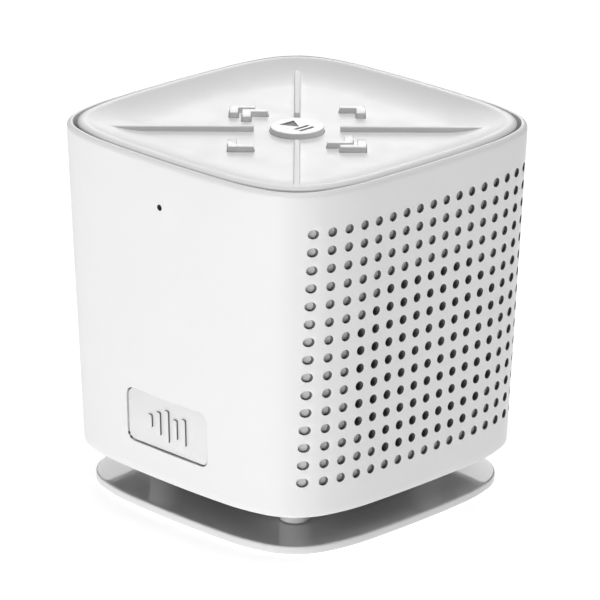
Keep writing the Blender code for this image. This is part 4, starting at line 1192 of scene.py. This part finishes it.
foot_plate = piece("foot_plate", outlined(PLATE_EDGE, lambda z: PLATE_HALF), PLATE_WHITE, "base_plate")
wide = PAD_RADIUS + GAP
seat = [(0, PLATE_TOP + GAP), (POST_BORE, PLATE_TOP + GAP), (POST_BORE, PAD_SEAT + 0.0014)]
seat += [(SCREW_HEAD, PAD_SEAT + 0.0001), (SCREW_HEAD, PAD_SEAT), (wide, PAD_SEAT), (wide, PLATE_Z - GAP)]
carve(foot_plate, at_corners(seat + [(0, PLATE_Z - GAP)], POST_PLACE, 48))


def is_sheet(face):
    """True for the plate's underside, and for its top inside the polished border."""
    middle, up = face.center, face.normal.z
    inside = max(abs(middle.x), abs(middle.y)) < PLATE_HALF - PLATE_BORDER - 0.001
    return up < -0.2 or (up > 0.9 and middle.z > PLATE_TOP - 1e-5 and inside)


# Painted shade: the top inside the polished border, under the case's shadow, and the underside get the
# sheet's barely darker tone.
give_faces(foot_plate, SHEET_PAINTED_SHADE, is_sheet)

# %% Posts and pads
BOTTOM_Z = 0.0106
BOTTOM_TOP = 0.0126
HEAD_RADIUS, FOOT_RADIUS = 0.00365, 0.0033


def corner_of(x, y):
    """The name of a corner."""
    return f"{'rear' if y > 0 else 'front'}_{'right' if x > 0 else 'left'}"


low, high = PLATE_TOP + GAP, BOTTOM_Z - GAP
post = [(POST_BORE, high), (HEAD_RADIUS, high), (HEAD_RADIUS, high - 0.0006)]
post += [(FOOT_RADIUS, low + 0.0010), (FOOT_RADIUS, low), (POST_BORE, low)]
pad = [(0, 0.0008), (PAD_RADIUS, 0.0008), (PAD_RADIUS, 0), (PAD_RADIUS - 0.001, 0)]
groove = [(0.0020, 0), (0.0016, 0.0001), (0, 0.0001)]
for x, y in CORNERS:
    corner = corner_of(x, y)
    place = Matrix.Translation((x * POST_PLACE, y * POST_PLACE, 0))
    turned(f"{corner}_post", softened(post, SOFT_EDGE), SATIN_WHITE, f"post_{corner}", place, 48, True)
    pad_shape = softened(pad, 0.0003) + groove
    turned(f"{corner}_pad", pad_shape, BLACK_RUBBER, f"foot_pad_{corner}", place, 48)

# %% [markdown]
# ## The underside
#
# The bottom panel closes the case between the posts. In its middle hangs the bass radiator, a weighted
# plate in a rubber roll. It is passive: the drivers' air pushes it towards the foot plate and back.

# %% Bottom panel
SCREW_RADIUS = 0.0011
RADIATOR_HOLE = 0.0190
RADIATOR_RIM = 0.0224
CORNER_BOSS_PLACE = 0.0297
SUNK_Z = BOTTOM_Z + 0.0001
edge = WALL + GAP
levels = [(BOTTOM_Z, edge + SOFT_EDGE), (BOTTOM_Z + SOFT_EDGE, edge), (BOTTOM_TOP, edge)]
bottom = piece("underside", outlined(levels, half_at), GREY_PLASTIC, "bottom_panel")
under, above = BOTTOM_Z - GAP, BOTTOM_TOP + GAP
carve(bottom, at_corners(rod(0.0030, BOTTOM_Z + GAP, BOTTOM_TOP + 0.005), POST_PLACE, 32), "UNION")
bores = at_corners(rod(POST_BORE, under, BOTTOM_TOP + 0.006), POST_PLACE, 32)
mouth, bore = RADIATOR_HOLE + 0.0004, SCREW_RADIUS + GAP
opening = [(0, under), (mouth, under), (mouth, BOTTOM_Z), (RADIATOR_HOLE, BOTTOM_Z + 0.0004)]
bores = lathe(opening + [(RADIATOR_HOLE, above), (0, above)], 96, bm=bores)
head_hole = [(0, above), (bore, above), (bore, SUNK_Z + 0.0013)]
head_hole += [(SCREW_HEAD, SUNK_Z), (SCREW_HEAD, under), (0, under)]
carve(bottom, at_corners(head_hole, CORNER_BOSS_PLACE, 32, bores))

# %% [markdown]
# Every screw is the same turned shape with a cross cut into its head. Two crossed slabs make the recess.

# %% Screws
THREAD_PITCH = 0.00044
CROSS_SLOT = (0.0024, 0.0005, 0.0014)


def screw(name, node, x, y, low, high):
    """A countersunk screw, head down, with a cross recess."""
    profile = [(0, high), (0.7 * SCREW_RADIUS, high), (SCREW_RADIUS, high - 0.0006)]
    turn_z = high - 0.0008
    while turn_z > low + 0.0022:
        profile += [(SCREW_RADIUS, turn_z), (0.82 * SCREW_RADIUS, turn_z - THREAD_PITCH / 2)]
        turn_z -= THREAD_PITCH
    profile += [(SCREW_RADIUS, low + 0.0014), (SCREW_RADIUS, low + 0.0010), (0.0022, low + 0.00005)]
    place = Matrix.Translation((x, y, 0))
    made = turned(name, profile + [(0.00215, low), (0, low)], STEEL, node, place, 24)
    for turn in (0, QUARTER):
        spin = place @ Matrix.Rotation(turn, 4, "Z")
        carve(made, slab(CROSS_SLOT, (0, 0, low), place=spin))


for x, y in CORNERS:
    corner = corner_of(x, y)
    for kind, node, reach, low, high in (
        ("case", "corner", CORNER_BOSS_PLACE, SUNK_Z, SUNK_Z + 0.0095),
        ("foot", "post", POST_PLACE, PAD_SEAT + 0.0001, BOTTOM_TOP + 0.004),
    ):
        screw(f"{corner}_{kind}_screw", f"{node}_screw_{corner}", x * reach, y * reach, low, high)

# %% [markdown]
# A rubber roll has to bend when its plate moves; here it is made as eight fixed sectors, each a short closed
# turned piece that meets the case at its outer edge and the plate at its inner edge. Neighbours meet on the
# same points.

# %% Rolls in sectors
SECTORS = 8
SECTOR_TURN = math.tau / SECTORS
RUBBER = 0.0005


def sector_of(profile, index, place):
    """One closed sector of a turned shape."""
    bm = swept(profile, 8, True, SECTOR_TURN, (index - 0.5) * SECTOR_TURN)
    bmesh.ops.holes_fill(bm, edges=[edge for edge in bm.edges if edge.is_boundary], sides=0)
    bmesh.ops.recalc_face_normals(bm, faces=bm.faces)
    bm.transform(place)
    return bm


def roll(name, node, profile, place):
    """A rubber roll in sectors that take its CAD node's place."""
    for index in range(SECTORS):
        made = piece(f"{name}_{index}", sector_of(profile, index, place), BLACK_RUBBER)
        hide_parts(node)
        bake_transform(made)


def roll_profile(first, last, middle, radius, low, up, steps=16):
    """A half-round roll between two flat lips, as one closed profile. It stands up, or hangs if up is -1."""
    near, far = low + RUBBER * (up > 0), low + RUBBER * (up < 0)
    turns = [math.pi - math.pi * step / steps for step in range(steps + 1)]
    thin = radius - RUBBER
    skin = [(middle + radius * math.cos(turn), near + up * radius * math.sin(turn)) for turn in turns]
    lining = [(middle + thin * math.cos(turn), far + up * radius * math.sin(turn)) for turn in turns]
    return [(first, near)] + skin + [(last, near), (last, far)] + lining[::-1] + [(first, far)]


# %% Radiator
ROLL_RADIUS = 0.0021
RADIATOR_WEIGHT = 0.0122
lip = BOTTOM_TOP + GAP
profile = (RADIATOR_WEIGHT + GAP, RADIATOR_RIM, RADIATOR_HOLE - GAP - ROLL_RADIUS, ROLL_RADIUS, lip, -1)
profile = roll_profile(*profile)
roll("radiator_roll", "radiator_surround", profile, Matrix.Identity(4))
clamp = lip + RUBBER + GAP
under = BOTTOM_TOP - RUBBER
weight = [(0, clamp + 0.0011), (0.0140, clamp + 0.0011), (0.0140, clamp), (RADIATOR_WEIGHT, clamp)]
weight += [(RADIATOR_WEIGHT, under), (0.0100, under), (0.0096, under + 0.0003), (0, under + 0.0003)]
weight = softened(weight, 0.0003)
turned("radiator_disc", weight, GREY_PLASTIC, "radiator_plate", steps=96, body="bass_radiator")
ring = tube(RADIATOR_HOLE + GAP, RADIATOR_RIM, clamp, clamp + 0.0013)
turned("clamping_ring", ring, GREY_PLASTIC, "radiator_ring", steps=96, ring=True)

# %% [markdown]
# ## The drivers
#
# Behind each grille sits a small full-range driver, on an axis square to the leaning wall. All its parts
# are turned, so each is one spun profile. Heights are counted from the inside of the wall, outwards.
# Only the cone and the coil move.

# %% Driver dimensions
DRIVER_RADIUS = 0.0236
GASKET_WIDTH = 0.0022
MAGNET_RADIUS = 0.0152
COIL_RADIUS = 0.0067
CONE_THICK = 0.0006
COIL_THICK = 0.0006
BASKET_WALL = 0.0009
CAP_RISE = 0.0033
FORMER_LENGTH = 0.0071
SURROUND_ROLL = 0.0015
INSET = 0.001
bow_depth = half_at(OPEN_CENTRE_Z) - WALL - side_point(DRIVER_RADIUS, OPEN_CENTRE_Z, WALL).x
gasket_top = -bow_depth - GAP
gasket_low = gasket_top - 0.0025
flange = gasket_low - GAP
lip_radius = DRIVER_RADIUS - GASKET_WIDTH - GAP
roll_outer = lip_radius - 0.0015
roll_middle = roll_outer - SURROUND_ROLL
cone_edge = roll_middle - SURROUND_ROLL
basket_inner = roll_outer - GAP
neck_radius = COIL_RADIUS + CONE_THICK
plate_inner = neck_radius + GAP + COIL_THICK + 2 * GAP
neck = flange - 0.0056
basket_low = flange - 0.0110
former_low = neck - FORMER_LENGTH
print("driver from", round(gasket_top, 4), "down to", round(basket_low, 4))


# %% Gasket and frame, surround and cone
def gasket_and_frame(side, place):
    """The foam ring against the wall, and the frame that carries the rest."""
    foam = tube(DRIVER_RADIUS - GASKET_WIDTH, DRIVER_RADIUS, gasket_low, gasket_top)
    turned(f"{side}_foam_gasket", foam, FOAM, f"{side}_gasket", place, 96, True)
    foot, shelf = MAGNET_RADIUS - INSET, basket_low + BASKET_WALL
    frame = [(basket_inner, flange), (DRIVER_RADIUS, flange), (DRIVER_RADIUS, flange - 0.0012)]
    frame += [(basket_inner + BASKET_WALL, flange - 0.0012), (foot, basket_low), (plate_inner, basket_low)]
    frame += [(plate_inner, shelf), (foot - BASKET_WALL, shelf)]
    turned(f"{side}_frame", frame, BLACK_PLASTIC, f"{side}_basket", place, 96, True)


def surround_and_cone(side, place):
    """The rubber roll and the paper cone with its dust cap and coil former."""
    body = f"{side}_driver_cone"
    profile = roll_profile(cone_edge - 0.0015, lip_radius, roll_middle, SURROUND_ROLL, flange + GAP, 1)
    roll(f"{side}_roll", f"{side}_surround", profile, place)
    cap_foot, half_way = neck + 0.27 * CAP_RISE, 0.5 * (neck_radius + cone_edge)
    dome = ((0, 1), (0.25, 0.955), (0.5, 0.82), (0.75, 0.59))
    cone = [(out * neck_radius, neck + up * CAP_RISE) for out, up in dome]
    cone += [(COIL_RADIUS, cap_foot), (half_way - CONE_THICK, 0.5 * (cap_foot + flange) - 0.0004)]
    cone += [(cone_edge - 2 * CONE_THICK, flange), (cone_edge, flange), (cone_edge, flange - CONE_THICK)]
    cone += [(half_way, 0.5 * (neck + flange) - CONE_THICK - 0.0002), (neck_radius, neck)]
    cone += [(neck_radius, former_low), (COIL_RADIUS, former_low), (COIL_RADIUS, neck)]
    cone += [(0.5 * neck_radius, neck + 0.61 * CAP_RISE), (0, neck + 0.79 * CAP_RISE)]
    turned(f"{side}_paper_cone", cone, PAPER, f"{side}_cone", place, 96, body=body)


# %% Coil and magnet
def motor(side, place):
    """The coil on the cone's former, and the ring magnet and back iron round it."""
    inner = neck_radius + GAP
    coil = tube(inner, inner + COIL_THICK, former_low, former_low + 0.0024)
    turned(f"{side}_winding", coil, COPPER, f"{side}_voice_coil", place, 64, True, f"{side}_driver_cone")
    top = basket_low - GAP
    shelf = top - 0.0020
    bottom = shelf - 0.0048
    rim, bore = MAGNET_RADIUS - INSET, plate_inner + INSET
    magnet = [(plate_inner, top), (rim, top), (rim, shelf), (MAGNET_RADIUS, shelf), (MAGNET_RADIUS, bottom)]
    magnet += [(bore, bottom), (bore, shelf), (plate_inner, shelf)]
    turned(f"{side}_ring_magnet", magnet, FERRITE, f"{side}_magnet", place, 64, True)
    pole, high, low = COIL_RADIUS - GAP, bottom - GAP, bottom - GAP - 0.0025
    yoke = [(0, top + INSET), (pole, top + INSET), (pole, high), (rim, high), (rim, low), (0, low)]
    turned(f"{side}_back_iron", yoke, STEEL, f"{side}_yoke", place)


for side, heading in (("right", 0.0), ("left", math.pi)):
    place = wall_place(heading, OPEN_CENTRE_Z, WALL)
    gasket_and_frame(side, place)
    surround_and_cone(side, place)
    motor(side, place)

# %% [markdown]
# ## Rear fittings
#
# The sockets stand on the main board and end just short of the outer wall. The switch's knob stands out by
# half a millimetre and has three small notches for a fingernail. The light pipe ends in a low dome.

# %% Sockets
MAIN_BOARD_Y = 0.0304
SEAT = MAIN_BOARD_Y + BOARD_THICK + GAP
depth = PORT_Y - 0.0006 - SEAT
usb_place = through_y(USB_X, PORT_Z, SEAT)
shell = slab((*USB_SIZE, depth), (0, 0, depth / 2), place=usb_place, upright=0.0007)
usb_shell = piece("usb_shell", shell, STEEL, "usb_socket")
carve(usb_shell, slab((0.0068, 0.0019, depth), (0, 0, depth / 2 + 0.0012), place=usb_place, upright=0.0005))
tongue = depth - 0.0016
tongue = slab((0.0037, 0.0006, tongue), (0, 0, 0.0008 + tongue / 2), FINE_EDGE, 1, usb_place)
carve(usb_shell, tongue, "UNION")
aux_place = through_y(AUX_X, PORT_Z, SEAT)
aux_block = slab((0.0060, 0.0050, 0.0042), (0, 0, 0.0021), SOFT_EDGE, 2, aux_place)
aux_jack = piece("audio_jack", aux_block, BLACK_PLASTIC, "aux_socket")
nose = [(0, 0.0021), (AUX_RADIUS, 0.0021), (AUX_RADIUS, depth), (0.0020, depth), (0, depth)]
carve(aux_jack, lathe(softened(nose, SOFT_EDGE), 48, place=aux_place), "UNION")
carve(aux_jack, lathe(rod(0.0018, 0.0008, depth + GAP), 40, place=aux_place))

# %% Switch knob and light pipe
NOTCH_PITCH = 0.0006
knob_low = SEAT + 0.0030 + GAP
length = PORT_Y + 0.0006 - knob_low
knob_place = through_y(SWITCH_X - SWITCH_TRAVEL / 2, PORT_Z, knob_low)
knob = slab((0.0022, 0.0018, length), (0, 0, length / 2), 0.00015, 2, knob_place)
knob = piece("switch_knob", knob, BLACK_PLASTIC, "power_slider", "power_slider")
carve(knob, slab((0.0058, 0.0032, 0.0008), (0, 0, 0.0004), FINE_EDGE, 1, knob_place), "UNION")
for x in (-NOTCH_PITCH, 0, NOTCH_PITCH):
    carve(knob, slab((0.0002, 0.0030, 0.0004), (x, 0, length), place=knob_place))
tip = PORT_Y - 0.0001 - SEAT
pipe = [(0, 0), (LIGHT_RADIUS, 0), (LIGHT_RADIUS, tip - 0.0003), (0.0006, tip - 0.00008), (0, tip)]
pipe_place = through_y(LIGHT_X, PORT_Z, SEAT)
turned("indicator_lens", softened(pipe, SOFT_EDGE), FINISH_OF["light_guide"], "light_pipe", pipe_place, 32)

# %% [markdown]
# ## Inside pieces that the frame already shapes well
#
# The boards, tact switches, radio shield and cradle are plain in reality too, so their CAD nodes stay,
# with their finishes. The cell and the microphone are round, so they are turned again with smooth sides.

# %% Cell, microphone and boot
CELL_RADIUS, CELL_LENGTH, TIP_RADIUS, TIP_RISE = 0.0091, 0.0500, 0.0030, 0.0004
cell = [(0, 0), (TIP_RADIUS, 0), (TIP_RADIUS, TIP_RISE), (CELL_RADIUS, TIP_RISE)]
cell = softened(cell + [(CELL_RADIUS, CELL_LENGTH), (0, CELL_LENGTH)], 0.0006, 4)
turned("sleeved_cell", cell, SLEEVE_BLUE, "battery_cell", through_y(0, 0.0275, -CELL_LENGTH / 2))
boot_face = -(half_at(MIC_Z) - WALL - GAP - 0.0034 * math.sin(TAPER))
boot_place = through_y(0, MIC_Z, boot_face)
boot = [(0.0007, 0), (0.0034, 0), (0.0034, 0.0034), (0.0023, 0.0034), (0.0023, 0.0008), (0.0007, 0.0008)]
turned("microphone_boot", boot, BLACK_RUBBER, "mic_boot", boot_place, 40, True)
turned("microphone", softened(rod(0.0020, 0.0011, 0.0031), SOFT_EDGE), STEEL, "mic_capsule", boot_place, 40)

# %% [markdown]
# ## Light and floor
#
# White plastic on a white floor is only told apart by shade, so the lamps are few and placed with care. A
# wide soft lamp overhead lights the dish and the keys, one behind gives the far rim its edge, one high on
# the right keeps the grille grey, and a low strip in front lights the front without reaching into the dish.
# The floor glows a little, so that it looks plain white and sends light up under the foot plate.

# %% Floor
scene = bpy.context.scene
scene.view_settings.view_transform = "Standard"
ground = bmesh.new()
bmesh.ops.create_grid(ground, x_segments=1, y_segments=1, size=30)
floor = loose("floor", ground)
floor.location.z = -0.0001
pale, _, shader, _ = new_finish("pale_floor")
fill(shader, {"Base Color": (0.8, 0.8, 0.8, 1), "Roughness": 0.9})
fill(shader, {"Emission Color": (1, 1, 1, 1), "Emission Strength": 0.6})
floor.data.materials.append(pale)
floor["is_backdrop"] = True
print("floor laid")

# %% Lamps
MIDDLE = Vector((0, 0, 0.045))
LAMP_DISTANCE = 0.9


def softbox(name, heading, height, power, wide, tall):
    """An area lamp round the speaker, aimed at its middle."""
    lamp = bpy.data.lights.new(name, "AREA")
    lamp.shape = "RECTANGLE"
    lamp.size, lamp.size_y = wide, tall
    lamp.energy = power
    made = bpy.data.objects.new(name, lamp)
    scene.collection.objects.link(made)
    away = way_to(heading, height)
    made.location = MIDDLE + LAMP_DISTANCE * away
    made.rotation_euler = (-away).to_track_quat("-Z", "Y").to_euler()


softbox("overhead", 45, 88, 4.6, 0.6, 0.6)
softbox("behind", 225, 25, 1.9, 0.45, 0.45)
softbox("right_high", 135, 50, 0.9, 0.45, 0.45)
softbox("front_low", 12, 0, 3.1, 0.50, 0.09)
world = bpy.data.worlds.new("studio")
world.use_nodes = True
fill(world.node_tree.nodes["Background"], {"Color": (1, 1, 1, 1), "Strength": 0.05})
scene.world = world
print("lamps:", len(bpy.data.lights))

# %% Finish
size = {"cad": [list(corner) for corner in CAD_BOX], "visual": [list(corner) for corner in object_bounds()]}
